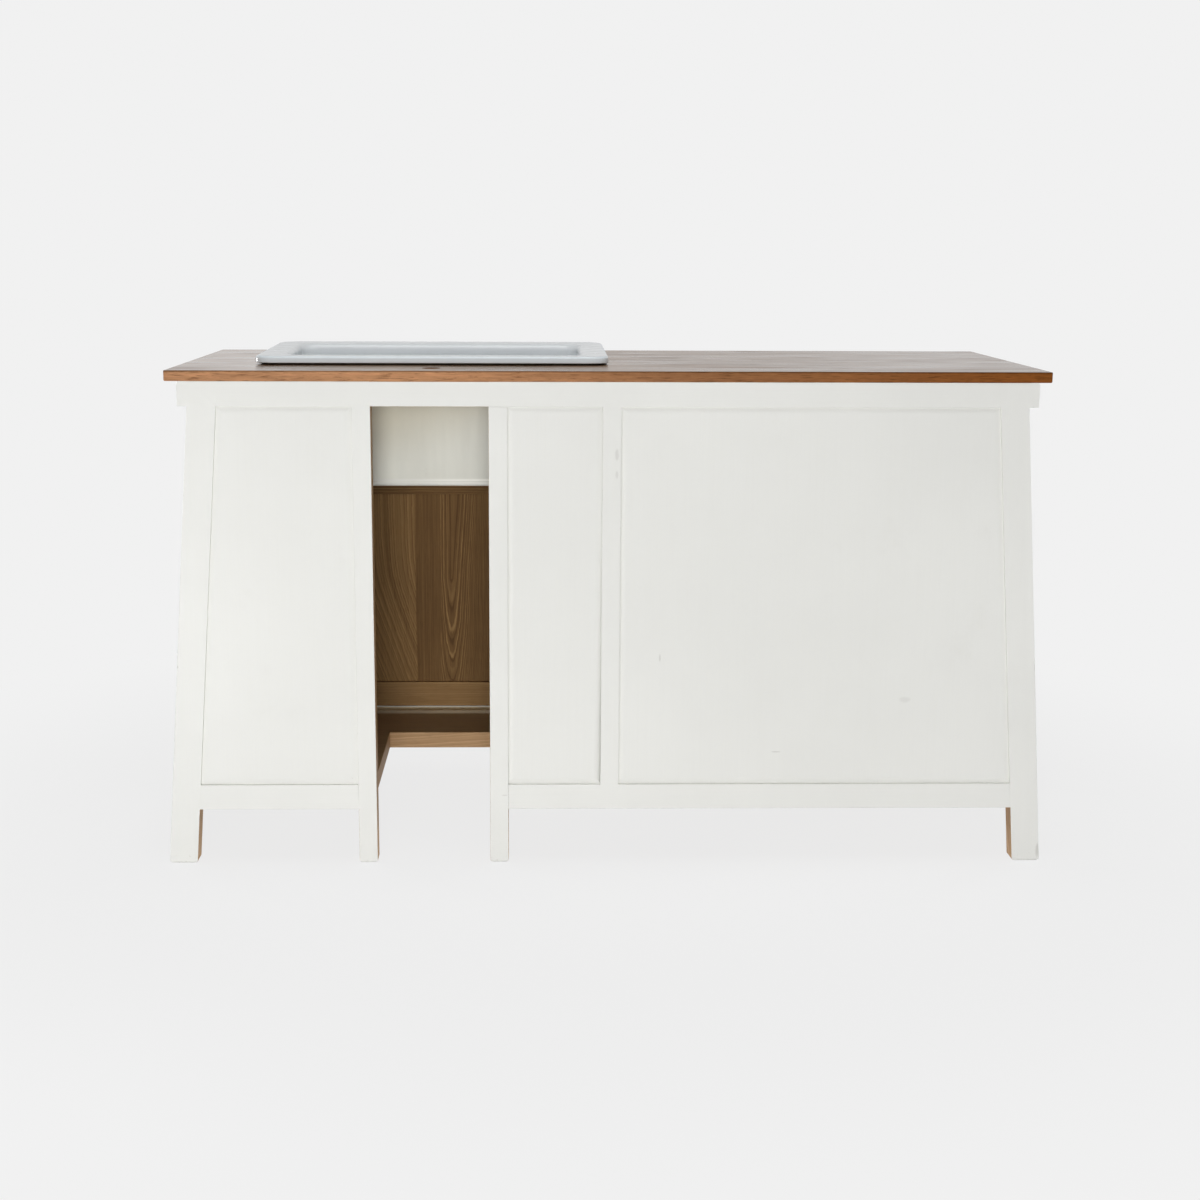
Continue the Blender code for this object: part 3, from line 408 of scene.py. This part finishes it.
def ring_lines(g, grain, rings):
    """Pale early wood and dark late wood in each growth ring, uneven and ragged."""
    jags = g.math("SUBTRACT", g.stretched(grain, 30.0, 110.0, 3.0, 0.6), 0.5)
    rings = g.math("ADD", rings, g.math("MULTIPLY", jags, g.span(rings, 0.2, 1.5, 0.0, 0.6)))
    rings = g.math("ADD", rings, g.math("MULTIPLY", g.line_noise(rings, 0.45, 2.0), 2.0))
    phase = g.math("FRACT", rings)
    number = g.math("FLOOR", rings)
    each = g.add("TexWhiteNoise", {"W": number}, noise_dimensions="1D").outputs["Value"]
    broken = g.stretched(grain, 14.0, 160.0, 3.0, 0.6)
    early = g.band(phase, 0.50, 0.74, 0.82, 0.95)
    early = g.math("MULTIPLY", early, g.span(each, 0.0, 1.0, 0.25, 1.0))
    early = g.math("MULTIPLY", early, g.span(broken, 0.3, 0.6, 0.4, 1.0))
    late = g.band(phase, 0.0, 0.06, 0.10, 0.30)
    return early, late


def wood(name, grain, dark, light, leaves=(PLAIN_LEAF,), own=True, lip=False):
    """Plain-sawn wood with its growth rings, fibres and pores along one axis."""
    g = Graph(name)
    along, across = grain_place(g, grain, own)
    rings, tones, lines = growth_rings(g, across, along, leaves)
    early, late = ring_lines(g, grain, rings)
    rising = g.math("SUBTRACT", early, g.math("MULTIPLY", late, 0.45))
    fibres = g.stretched(grain, 9.0, 620.0, 3.0, 0.6)
    pores = g.span(g.stretched(grain, 38.0, 1500.0, 2.0, 0.5), 0.60, 0.72)
    patchy = g.math("SUBTRACT", g.noise(3.5, 3.0, 0.6), 0.5)
    mix = g.math("ADD", g.math("MULTIPLY", rising, lines), g.math("MULTIPLY", fibres, 0.5))
    mix = g.math("ADD", mix, g.math("ADD", tones, g.math("MULTIPLY", patchy, 0.3)))
    base = g.colour(g.span(mix, -0.1, 0.9), dark, light)
    base = g.colour(g.math("MULTIPLY", pores, 0.45), base, scaled(dark, 0.45))
    if lip:
        base = g.colour(painted_lip(g), base, PAINT)
    rough = g.span(g.math("SUBTRACT", fibres, g.math("MULTIPLY", early, 0.3)), 0.2, 0.8, 0.45, 0.65)
    g.bump(g.math("SUBTRACT", g.math("MULTIPLY", fibres, 0.6), pores), 0.25 * MM, 0.6)
    return g.finish(Base_Color=base, Roughness=rough, Specular_IOR_Level=0.15)


def worktop_stain(g, fibres, clouds):
    """Colour of the stained board, with its streaks, figure and pores."""
    streaks = g.noise((3.0, 60.0, 60.0), 4.0, 0.6)
    figure = g.noise((45.0, 230.0, 230.0), 3.0, 0.6)
    pores = g.span(g.noise((28.0, 480.0, 480.0), 4.0, 0.65), 0.54, 0.64)
    stain = g.colour(g.span(g.x, -0.85, 0.55), TOP_LEFT, TOP_RIGHT)
    mix = g.math("ADD", g.math("MULTIPLY", streaks, 0.6), g.math("MULTIPLY", fibres, 0.4))
    mix = g.math("ADD", mix, g.math("MULTIPLY", clouds, 0.3))
    mix = g.math("ADD", mix, g.math("MULTIPLY", figure, 0.4))
    base = g.colour(1.0, stain, g.span(mix, 0.5, 1.2, 0.7, 1.65), "MULTIPLY")
    return g.colour(g.math("MULTIPLY", pores, 0.6), base, scaled(TOP_LEFT, 0.3))


def worktop_darkening(g, upward, varnished, stains):
    """Share of darkening: a dark line along the upper arris, and dirt in the stains of the varnish.
    """
    arris = g.band(upward, 0.2, 0.5, 0.85, 0.98)
    arris = g.math("MAXIMUM", arris, g.span(g.z, HEIGHT - 3.2 * MM, HEIGHT - 1.2 * MM, 0.0, 0.7))
    arris = g.math("MULTIPLY", arris, g.math("SUBTRACT", 1.0, varnished))
    worn = g.math("MULTIPLY", stains, varnished)
    return g.math("MAXIMUM", g.math("MULTIPLY", arris, 0.75), g.math("MULTIPLY", worn, 0.5))


def worktop_wood():
    """Stained board: streaks along X, darker at one end, with worn varnish, stains and painted shade
    on its top.
    """
    g = Graph("stained_top")
    fibres = g.noise((14.0, 700.0, 700.0), 3.0, 0.6)
    clouds = g.noise((4.0, 14.0, 14.0), 4.0, 0.6)
    stains = g.span(g.noise((6.0, 42.0, 42.0), 5.0, 0.65), 0.50, 0.68)
    upward = g.add("SeparateXYZ", {0: g.normal()}).outputs[2]
    varnished = g.span(upward, 0.85, 0.98)
    base = worktop_stain(g, fibres, clouds)
    # darker on the upward faces: varnish, and painted shade against the light from above
    base = g.colour(g.math("MULTIPLY", varnished, 0.6), base, VARNISH_AND_SHADE)
    base = g.colour(worktop_darkening(g, upward, varnished, stains), base, scaled(TOP_LEFT, 0.25))
    rough = g.math("ADD", g.span(clouds, 0.3, 0.7, 0.24, 0.36), g.math("MULTIPLY", stains, 0.12))
    coat = g.math("MAXIMUM", g.span(g.x, 0.2, 0.6, 0.32, 0.78), g.span(g.x, -0.6, -0.2, 0.56, 0.32))
    coat = g.math("MULTIPLY", coat, g.span(g.math("ADD", stains, clouds), 0.3, 1.5, 1.05, 0.6))
    g.bump(g.math("ADD", g.math("MULTIPLY", fibres, 0.5), clouds), 0.3 * MM, 0.5)
    return g.finish(
        Base_Color=base,
        Roughness=g.number(varnished, 0.75, rough),
        Coat_Weight=g.math("MULTIPLY", coat, varnished),
        Coat_Roughness=0.2,
        Specular_IOR_Level=g.number(varnished, 0.05, 0.4),
    )


def marked(g, base, marks, ragged):
    """Colour with dark marks on the back."""
    on_back = g.math("GREATER_THAN", g.y, BACK - MARK_DEPTH)
    for x, z, half_x, half_z, strength in marks:
        across = g.math("DIVIDE", g.math("SUBTRACT", g.x, x), half_x)
        up = g.math("DIVIDE", g.math("SUBTRACT", g.z, z), half_z)
        squares = g.math("ADD", g.math("ADD", g.square(across), g.square(up)), ragged)
        seen = g.math("MULTIPLY", g.span(squares, 0.6, 1.6, strength, 0.0), on_back)
        base = g.colour(seen, base, MARK)
    return base


def paint(name, grain, wear, marks=()):
    """Brushed off-white paint, with the grain faintly showing and some grime and wear."""
    g = Graph(name)
    strokes = g.stretched(grain, 5.0, 330.0, 3.0, 0.6)
    cloud = g.noise(2.6, 3.0, 0.55)
    grime = g.span(g.noise(9.0, 5.0, 0.65), 0.60, 0.82)
    flecks = g.noise(120.0, 4.0, 0.7)
    chips = g.span(flecks, 0.60, 0.68)
    low = g.span(g.z, 0.0, 0.05, 1.0, 0.0)
    base = g.colour(g.span(cloud, 0.3, 0.7), scaled(PAINT, 0.965), PAINT)
    base = g.colour(g.math("MULTIPLY", g.span(strokes, 0.35, 0.75), 0.14), base, PAINT_STROKE)
    base = g.colour(g.math("MULTIPLY", grime, 0.10), base, PAINT_GRIME)
    scuffed = g.math("MULTIPLY", chips, g.math("ADD", g.math("MULTIPLY", low, 0.35), wear))
    base = g.colour(scuffed, base, PAINT_WORN)
    base = marked(g, base, marks, flecks)
    rough = g.span(g.math("ADD", strokes, grime), 0.3, 1.2, 0.38, 0.62)
    height = g.math("ADD", g.math("MULTIPLY", strokes, 0.5), g.math("MULTIPLY", cloud, 1.5))
    g.bump(g.math("SUBTRACT", height, scuffed), 0.2 * MM, 0.5)
    return g.finish(Base_Color=base, Roughness=rough)


def ceramic():
    """Cool white glaze with a faint orange-peel and painted shade on the outward faces of the rim."""
    g = Graph("glazed_ceramic")
    cloud = g.noise(5.0, 3.0)
    away = g.vector("MULTIPLY", g.vector("SUBTRACT", g.place, BASIN_MIDDLE), (1.0, 1.0, 0.0))
    outwards = g.vector("DOT_PRODUCT", away, g.normal(), "Value")
    # painted shade on the faces of the rim that look away from the middle of the basin
    outer_shade = g.span(g.math("ADD", outwards, g.math("MULTIPLY", cloud, 0.02)), 0.03, 0.12)
    base = g.colour(g.span(cloud, 0.3, 0.7), scaled(GLAZE, 0.96), GLAZE)
    base = g.colour(outer_shade, base, GLAZE_SHADED)
    rough = g.span(g.noise(30.0, 4.0, 0.6), 0.35, 0.75, 0.18, 0.28)
    g.bump(g.noise(55.0, 2.0), 0.1 * MM, 0.25)
    return g.finish(Base_Color=base, Roughness=rough, Specular_IOR_Level=0.5)


def bowl_outside():
    """Thin warm glaze under the basin, with runs and faint dirt, yellowing and painted shade towards
    its top, painted shade and light across it, and two painted highlight lines at its foot.
    """
    g = Graph("bowl_outside")
    runs = g.noise((40.0, 40.0, 6.0), 3.0, 0.6)
    dirt = g.span(g.noise(22.0, 5.0, 0.65), 0.55, 0.8)
    base = g.colour(g.span(runs, 0.3, 0.7), scaled(BOWL_OUTSIDE, 0.95), BOWL_OUTSIDE)
    base = g.colour(g.math("MULTIPLY", dirt, 0.2), base, BOWL_DIRT)
    height = g.math("SUBTRACT", g.z, BOWL_LOW)
    # partly yellowing, partly painted shade cast by the slot's top rail and stile, stronger towards
    # the top and towards +X
    yellowed_and_shaded = g.span(g.math("ADD", height, g.math("MULTIPLY", g.x, 0.3)), 0.13, 0.27, 0.0, 0.8)
    base = g.colour(yellowed_and_shaded, base, BOWL_YELLOWED_SHADED)
    # painted shade towards the slot's inner stile and painted light towards its outer stile
    base = g.colour(1.0, base, g.span(g.x, SLOT_LEFT, SLOT_RIGHT, 0.86, 1.06), "MULTIPLY")
    # painted highlight: two pale lines along the rounded foot of the bowl
    between_highlights = g.band(height, 7 * MM, 8 * MM, 9 * MM, 10 * MM)
    lip = g.span(height, 12 * MM, 15 * MM, 1.0, 0.0)
    lip = g.math("SUBTRACT", lip, g.math("MULTIPLY", between_highlights, 0.8))
    base = g.colour(lip, base, BOWL_LIP_HIGHLIGHT)
    g.bump(runs, 0.2 * MM, 0.4)
    return g.finish(Base_Color=base, Roughness=g.span(dirt, 0.0, 1.0, 0.35, 0.55))


def shadow_gap():
    """Painted shadow in the gap under the rim of the basin, dark and mottled."""
    g = Graph("rim_gap_shadow")
    # mottle of the painted shadow
    dirt = g.noise(160.0, 4.0, 0.6)
    base = g.colour(g.span(dirt, 0.3, 0.7), GAP_SHADOW, scaled(GAP_SHADOW, 2.2))
    rough = g.span(dirt, 0.3, 0.7, 0.8, 0.95)
    return g.finish(Base_Color=base, Roughness=rough, Specular_IOR_Level=0.05)


def track_metal():
    """Drawn track: worn bright along its rib, partly as a painted highlight; dull tan in its lanes,
    lightened as painted light; painted shade on its lips, darker below their tops, with dirt in
    patches.
    """
    g = Graph("track_metal")
    scratches = g.stretched("X", 20.0, 900.0, 2.0)
    patches = g.span(g.noise((14.0, 60.0, 60.0), 5.0, 0.65), 0.42, 0.70)
    depth = g.math("SUBTRACT", TRACK_TOP, g.z)
    off_rib = g.math("ABSOLUTE", g.math("SUBTRACT", g.y, TRACK_RIB))
    # worn metal along the top of the rib, partly a painted highlight
    worn = g.span(depth, 1.4 * MM, 2.6 * MM, 1.0, 0.0)
    worn = g.math("MULTIPLY", worn, g.span(off_rib, 5 * MM, 8 * MM, 1.0, 0.0))
    # painted shade on the lips, darker below their tops, with some dirt in patches
    dirt = g.math("ADD", g.span(depth, MM, 2.5 * MM, 0.6, 0.85), g.math("MULTIPLY", patches, 0.15))
    dirt = g.math("MULTIPLY", dirt, g.span(off_rib, TRACK_LANE - 2 * MM, TRACK_LANE))
    # tarnish with dirt in patches, lightened as painted light in the lanes
    base = g.colour(g.math("MULTIPLY", patches, 0.3), TARNISH_AND_LIGHT, TRACK_DIRT_AND_SHADE)
    base = g.colour(dirt, base, TRACK_DIRT_AND_SHADE)
    base = g.colour(worn, base, METAL_AND_HIGHLIGHT)
    base = g.colour(g.math("MULTIPLY", scratches, 0.1), base, scaled(METAL_AND_HIGHLIGHT, 0.6))
    g.bump(scratches, 0.05 * MM, 0.5)
    metallic = g.span(worn, 0.0, 1.0, 0.1, 0.2)
    return g.finish(Base_Color=base, Roughness=g.span(worn, 0.0, 1.0, 0.55, 0.35), Metallic=metallic)


def brass():
    """Turned brass with tarnish in patches."""
    g = Graph("aged_brass")
    scratches = g.stretched("Y", 20.0, 900.0, 2.0)
    patches = g.span(g.noise(24.0, 5.0, 0.65), 0.42, 0.70, 0.0, 0.75)
    base = g.colour(patches, BRASS, BRASS_DARK)
    base = g.colour(g.math("MULTIPLY", scratches, 0.25), base, scaled(BRASS, 0.6))
    rough = g.math("ADD", g.span(patches, 0.0, 1.0, 0.28, 0.5), g.math("MULTIPLY", scratches, 0.1))
    g.bump(scratches, 0.05 * MM, 0.5)
    return g.finish(Base_Color=base, Roughness=rough, Metallic=g.span(patches, 0.0, 1.0, 1.0, 0.1))


def plastic():
    """Moulded shoe, scuffed by the track."""
    g = Graph("nylon")
    scuffs = g.stretched("X", 15.0, 700.0, 3.0)
    base = g.colour(g.span(scuffs, 0.4, 0.7), NYLON, scaled(NYLON, 0.75))
    g.bump(scuffs, 0.05 * MM, 0.5)
    return g.finish(Base_Color=base, Roughness=g.span(scuffs, 0.3, 0.7, 0.35, 0.6))


# Pieces


def body_of(node):
    return frame["nodes"][node]["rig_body"]


def body_tree(body):
    """Search tree over all the solids of one body, with the node that owns each face."""
    points, faces, owners = [], [], []
    for name, node in frame["nodes"].items():
        if body_of(name) != body:
            continue
        start = len(points)
        points += [v.co.copy() for v in node.data.vertices]
        for face in node.data.polygons:
            faces.append([start + i for i in face.vertices])
            owners.append(name)
    return BVHTree.FromPolygons(points, faces), owners


def share_seated(points, node, tree, owners):
    """Share of some points that lie against another solid of the same body."""
    seated = 0
    for point in points:
        near = tree.find_nearest_range(point, SEAT)
        seated += any(owners[index] != node for _, _, index, _ in near)
    return seated / len(points)


def close_joints(solid, node, tree, owners):
    """Let the faces that lie against a neighbour grow until the joint is filled."""
    moves = {}
    for face in solid.faces:
        middle = face.calc_center_median()
        points = [v.co.lerp(middle, share) for v in face.verts for share in FACE_PROBES]
        if share_seated(points, node, tree, owners) < FACE_SEATED:
            continue
        for vertex in face.verts:
            moves.setdefault(vertex, []).append(face.normal.copy())
    for vertex, normals in moves.items():
        for normal in normals:
            vertex.co += FILL * normal


def arrises_of(solid):
    return [edge for edge in solid.edges if edge.is_manifold and edge.calc_face_angle() > ARRIS]


def joint_ends(a, b, node, tree, owners):
    """Shares of the way from a to b where their edge goes into a joint or comes out of it."""

    def seated(share):
        return share_seated([a.lerp(b, share)], node, tree, owners) > 0

    steps = max(2, math.ceil((b - a).length / PROBE))
    shares = [(step + 0.5) / steps for step in range(steps)]
    states = [seated(share) for share in shares]
    ends = []
    for low, high, before, after in zip(shares, shares[1:], states, states[1:]):
        if before == after:
            continue
        for _ in range(HALVINGS):
            middle = (low + high) / 2
            low, high = (middle, high) if seated(middle) == before else (low, middle)
        ends.append((low + high) / 2)
    return ends


def split_arrises(solid, node, tree, owners):
    """Split each arris where a joint with a neighbour begins or ends."""
    for edge in arrises_of(solid):
        start, end = edge.verts
        whole = 1.0
        for share in reversed(joint_ends(start.co, end.co, node, tree, owners)):
            vertex = bmesh.utils.edge_split(edge, start, share / whole)[1]
            edge = next(e for e in vertex.link_edges if e.other_vert(vertex) == start)
            whole = share


def ease_arrises(solid, node, tree, owners, ease):
    """Round the open edges of a solid and return the new faces."""
    split_arrises(solid, node, tree, owners)
    arrises = []
    for edge in arrises_of(solid):
        a, b = (v.co for v in edge.verts)
        points = [a.lerp(b, share) for share in EDGE_PROBES]
        if share_seated(points, node, tree, owners) < EDGE_SEATED:
            arrises.append(edge)
    return bmesh.ops.bevel(
        solid,
        geom=arrises,
        offset=ease,
        offset_type="OFFSET",
        segments=EASE_STEPS,
        profile=0.5,
        affect="EDGES",
        clamp_overlap=True,
        material=-1,
    )["faces"]


def finish_piece(node, materials, choose, tree, owners, ease, fill):
    """Piece that stands for a solid, with its open arrises eased and its faces finished."""
    solid = bmesh.new()
    solid.from_mesh(frame["nodes"][node].data)
    bmesh.ops.remove_doubles(solid, verts=solid.verts, dist=MERGE)
    bmesh.ops.dissolve_limit(solid, angle_limit=FLAT, verts=solid.verts, edges=solid.edges)
    for face in solid.faces:
        face.material_index = choose(face)
    if fill:
        close_joints(solid, node, tree, owners)
    if ease:
        for face in ease_arrises(solid, node, tree, owners, ease):
            if face.material_index == FACE and len(materials) > EDGE:
                face.material_index = EDGE
    mesh = bpy.data.meshes.new(node + "_finish")
    solid.to_mesh(mesh)
    solid.free()
    for material in materials:
        mesh.materials.append(material)
    mesh.shade_smooth()
    mesh.set_sharp_from_angle(angle=SMOOTH)
    piece = bpy.data.objects.new(node + "_finish", mesh)
    bpy.context.scene.collection.objects.link(piece)
    weighted = piece.modifiers.new("normals", "WEIGHTED_NORMAL")
    weighted.keep_sharp = True
    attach(piece, body_of(node))
    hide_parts(node)
    return piece


def outward(node):
    """Directions in which a painted piece shows its paint."""
    directions = []
    if node.startswith(("back_", "slot_")):
        directions.append(BACKWARDS)
    if node.startswith(("front_", "apron_")):
        directions.append(-BACKWARDS)
    if "left" in node.split("_")[:2]:
        directions.append(Vector((-1, 0, 0)))
    if "right" in node.split("_")[:2]:
        directions.append(Vector((1, 0, 0)))
    return directions


def painted_faces(node):
    """Rule that tells the painted faces of a piece from the bare ones."""
    directions = outward(node)
    middle = (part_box(node)[0][1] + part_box(node)[1][1]) / 2

    def choose(face):
        if node.endswith("_cornice"):
            return FACE
        if body_of(node) != "carcass":
            behind = face.calc_center_median().y > middle + MM
            bare = face.normal.y > LEVEL or (behind and face.normal.y > -LEVEL)
            return INSIDE if bare else FACE
        return FACE if any(face.normal.dot(way) > SHOWN for way in directions) else INSIDE

    return choose


def basin_faces(face):
    """Rule that tells the underside of the basin and the gap under its rim from its glazed inside."""
    place = face.calc_center_median()
    away = place - BASIN_MIDDLE
    outside = away.xy.dot(face.normal.xy) > 0 or face.normal.z < UNDERSIDE
    if outside and place.z < HEIGHT + RIM_GAP:
        return INSIDE if place.z < HEIGHT else GAP_FACE
    return FACE


def board_faces(face):
    """Rule that tells the bare cut edges of the floor board from its stained surface."""
    return FACE if abs(face.normal.z) > LEVEL else INSIDE


def all_faces(_):
    """Rule for a piece with one finish."""
    return FACE


def grain_of(node):
    """Axis along which a piece's grain runs."""
    if any(word in node for word in ("post", "stile", "muntin", "panel", "partition")):
        return "Z"
    if node.startswith(("left_", "right_")) or node in ("drawer_left_side", "drawer_right_side"):
        return "Y"
    return "X"


def along_axes(make, name, *settings, axes="XYZ", **options):
    """One finish for each axis along which its grain can run."""
    return {axis: make(f"{name}_{axis}", axis, *settings, **options) for axis in axes}


def make_looks():
    """All finishes by name, those with a grain by its axis as well."""
    brown = (BROWN_DARK, BROWN_LIGHT)
    return {
        "paint": along_axes(paint, "paint", 0.0),
        "marked_paint": along_axes(paint, "marked_paint", 0.0, MARKS, axes="XZ"),
        "paint_edge": along_axes(paint, "paint_edge", EDGE_WEAR),
        "brown_wood": along_axes(wood, "brown_wood", *brown),
        "panel_back": along_axes(wood, "panel_back", *brown, lip=True),
        "raw_wood": along_axes(wood, "raw_wood", RAW_DARK, RAW_LIGHT, lip=True),
        "brown_veneer": wood("brown_veneer", "Z", *brown, LEAVES, own=False),
        "brown_rail": wood("brown_rail", "X", RAIL_DARK, RAIL_LIGHT, (STRAIGHT_LEAF,)),
        "brown_board": wood("brown_board", "X", BOARD_DARK, BOARD_LIGHT, (STRAIGHT_LEAF,)),
        "stained_top": worktop_wood(),
        "glazed_ceramic": ceramic(),
        "bowl_outside": bowl_outside(),
        "rim_gap_shadow": shadow_gap(),
        "track_metal": track_metal(),
        "aged_brass": brass(),
        "nylon": plastic(),
    }


def bare_wood(node, looks):
    """Finish of a painted piece on the sides that aren't painted."""
    axis = grain_of(node)
    if "panel" in node:
        return looks["panel_back"][axis]
    if node.endswith("_door_bottom_rail"):
        return looks["brown_rail"]
    if body_of(node) != "carcass":
        return looks["brown_wood"][axis]
    return looks["raw_wood"][axis]


def finish_of(node, slot, looks):
    """Materials of a piece, the rule for its faces and how far its arrises are eased."""
    axis = grain_of(node)
    if slot == "white_paint":
        coat = looks["marked_paint" if BACKWARDS in outward(node) else "paint"][axis]
        return [coat, bare_wood(node, looks), looks["paint_edge"][axis]], painted_faces(node), EASE
    if slot == "glazed_ceramic":
        return [looks[slot], looks["bowl_outside"], looks["rim_gap_shadow"]], basin_faces, None
    if node.endswith("_door_panel"):
        return [looks["paint"]["Z"], looks["brown_veneer"]], painted_faces(node), EASE
    if node == "floor_board":
        return [looks["brown_board"], looks["raw_wood"][axis]], board_faces, EASE
    if slot in ("brown_wood", "raw_wood"):
        return [looks[slot][axis]], all_faces, EASE
    return [looks[slot]], all_faces, TRACK_EASE if slot == "track_metal" else None


def make_pieces():
    looks = make_looks()
    slots = {part["node"]: part["material_slot"] for part in frame["record"]["subparts"]}
    trees = {body: body_tree(body) for body in frame["bodies"]}
    for node, slot in slots.items():
        materials, choose, ease = finish_of(node, slot, looks)
        fill = slot == "white_paint"
        piece = finish_piece(node, materials, choose, *trees[body_of(node)], ease, fill)


# Stage


def seen_ray(nodes, links, *kinds):
    """1 for rays of some kinds, such as those from the camera."""
    path = nodes.new("ShaderNodeLightPath")
    total = path.outputs[f"Is {kinds[0]} Ray"]
    for kind in kinds[1:]:
        larger = nodes.new("ShaderNodeMath")
        larger.operation = "MAXIMUM"
        links.new(total, larger.inputs[0])
        links.new(path.outputs[f"Is {kind} Ray"], larger.inputs[1])
        total = larger.outputs[0]
    return total


def make_world():
    """Weak even light, with a pale backdrop for the camera and a dimmer one for glossy surfaces."""
    world = bpy.data.worlds.new("studio")
    bpy.context.scene.world = world
    world.use_nodes = True
    nodes, links = world.node_tree.nodes, world.node_tree.links
    nodes["Background"].inputs["Color"].default_value = (1.0, 1.0, 1.0, 1.0)
    nodes["Background"].inputs["Strength"].default_value = AMBIENT
    shown = nodes["Background"].outputs[0]
    for strength, kinds in ((MIRRORED, ("Glossy",)), (BACKGROUND, ("Camera", "Transmission"))):
        backdrop = nodes.new("ShaderNodeBackground")
        backdrop.inputs["Color"].default_value = (strength, strength, strength, 1.0)
        mix = nodes.new("ShaderNodeMixShader")
        links.new(seen_ray(nodes, links, *kinds), mix.inputs[0])
        links.new(shown, mix.inputs[1])
        links.new(backdrop.outputs[0], mix.inputs[2])
        shown = mix.outputs[0]
    links.new(shown, nodes["World Output"].inputs[0])


def make_floor():
    """Pale floor that looks like the backdrop, apart from its shading near the object."""
    g = Graph("pale_floor")
    nodes, links = g.nodes, g.links
    tone = g.span(g.noise(1.5, 3.0), 0.3, 0.7)
    g.finish(Base_Color=g.colour(tone, FLOOR_DARK, FLOOR_LIGHT), Roughness=0.9)
    glow = g.add("Emission", {0: (BACKGROUND, BACKGROUND, BACKGROUND, 1.0)})
    length = g.add("VectorMath", {0: g.place}, operation="LENGTH").outputs["Value"]
    share = g.span(length, *FLOOR_FADE, 1.0 - FLOOR_SHADE, 1.0)
    seen = seen_ray(nodes, links, "Camera", "Glossy", "Transmission")
    mix = g.add("MixShader", {0: g.math("MULTIPLY", share, seen)})
    links.new(g.shader.outputs[0], mix.inputs[1])
    links.new(glow.outputs[0], mix.inputs[2])
    links.new(mix.outputs[0], nodes["Material Output"].inputs[0])
    half = FLOOR_SIZE / 2
    mesh = bpy.data.meshes.new("floor")
    corners = [(-half, -half, 0), (half, -half, 0), (half, half, 0), (-half, half, 0)]
    mesh.from_pydata(corners, [], [(0, 1, 2, 3)])
    mesh.materials.append(g.material)
    floor = bpy.data.objects.new("floor", mesh)
    bpy.context.scene.collection.objects.link(floor)


def make_lamps():
    for name, (place, width, height, power) in LAMPS.items():
        lamp = bpy.data.lights.new(name, "AREA")
        lamp.shape = "ELLIPSE"
        lamp.size = width
        lamp.size_y = height
        lamp.energy = power
        holder = bpy.data.objects.new(name, lamp)
        bpy.context.scene.collection.objects.link(holder)
        holder.visible_glossy = name != GLARING
        holder.location = place
        holder.rotation_euler = (LAMP_TARGET - Vector(place)).to_track_quat("-Z", "Y").to_euler()


def make_camera():
    lens = bpy.data.cameras.new("camera")
    lens.sensor_width = SENSOR
    lens.lens = FOCAL_LENGTH / IMAGE_WIDTH * SENSOR
    lens.shift_x = 0.5 - AXIS_X / IMAGE_WIDTH
    camera = bpy.data.objects.new("camera", lens)
    bpy.context.scene.collection.objects.link(camera)
    heading = Matrix.Rotation(math.pi - CAMERA_YAW, 4, "Z")
    tilt = Matrix.Rotation(math.pi / 2 - CAMERA_PITCH, 4, "X")
    roll = Matrix.Rotation(CAMERA_ROLL, 4, "Z")
    camera.matrix_world = Matrix.Translation(CAMERA_PLACE) @ heading @ tilt @ roll
    bpy.context.scene.camera = camera


make_pieces()
make_world()
make_floor()
make_lamps()
make_camera()
bpy.context.scene.view_settings.view_transform = "Standard"

bpy.context.view_layer.update()
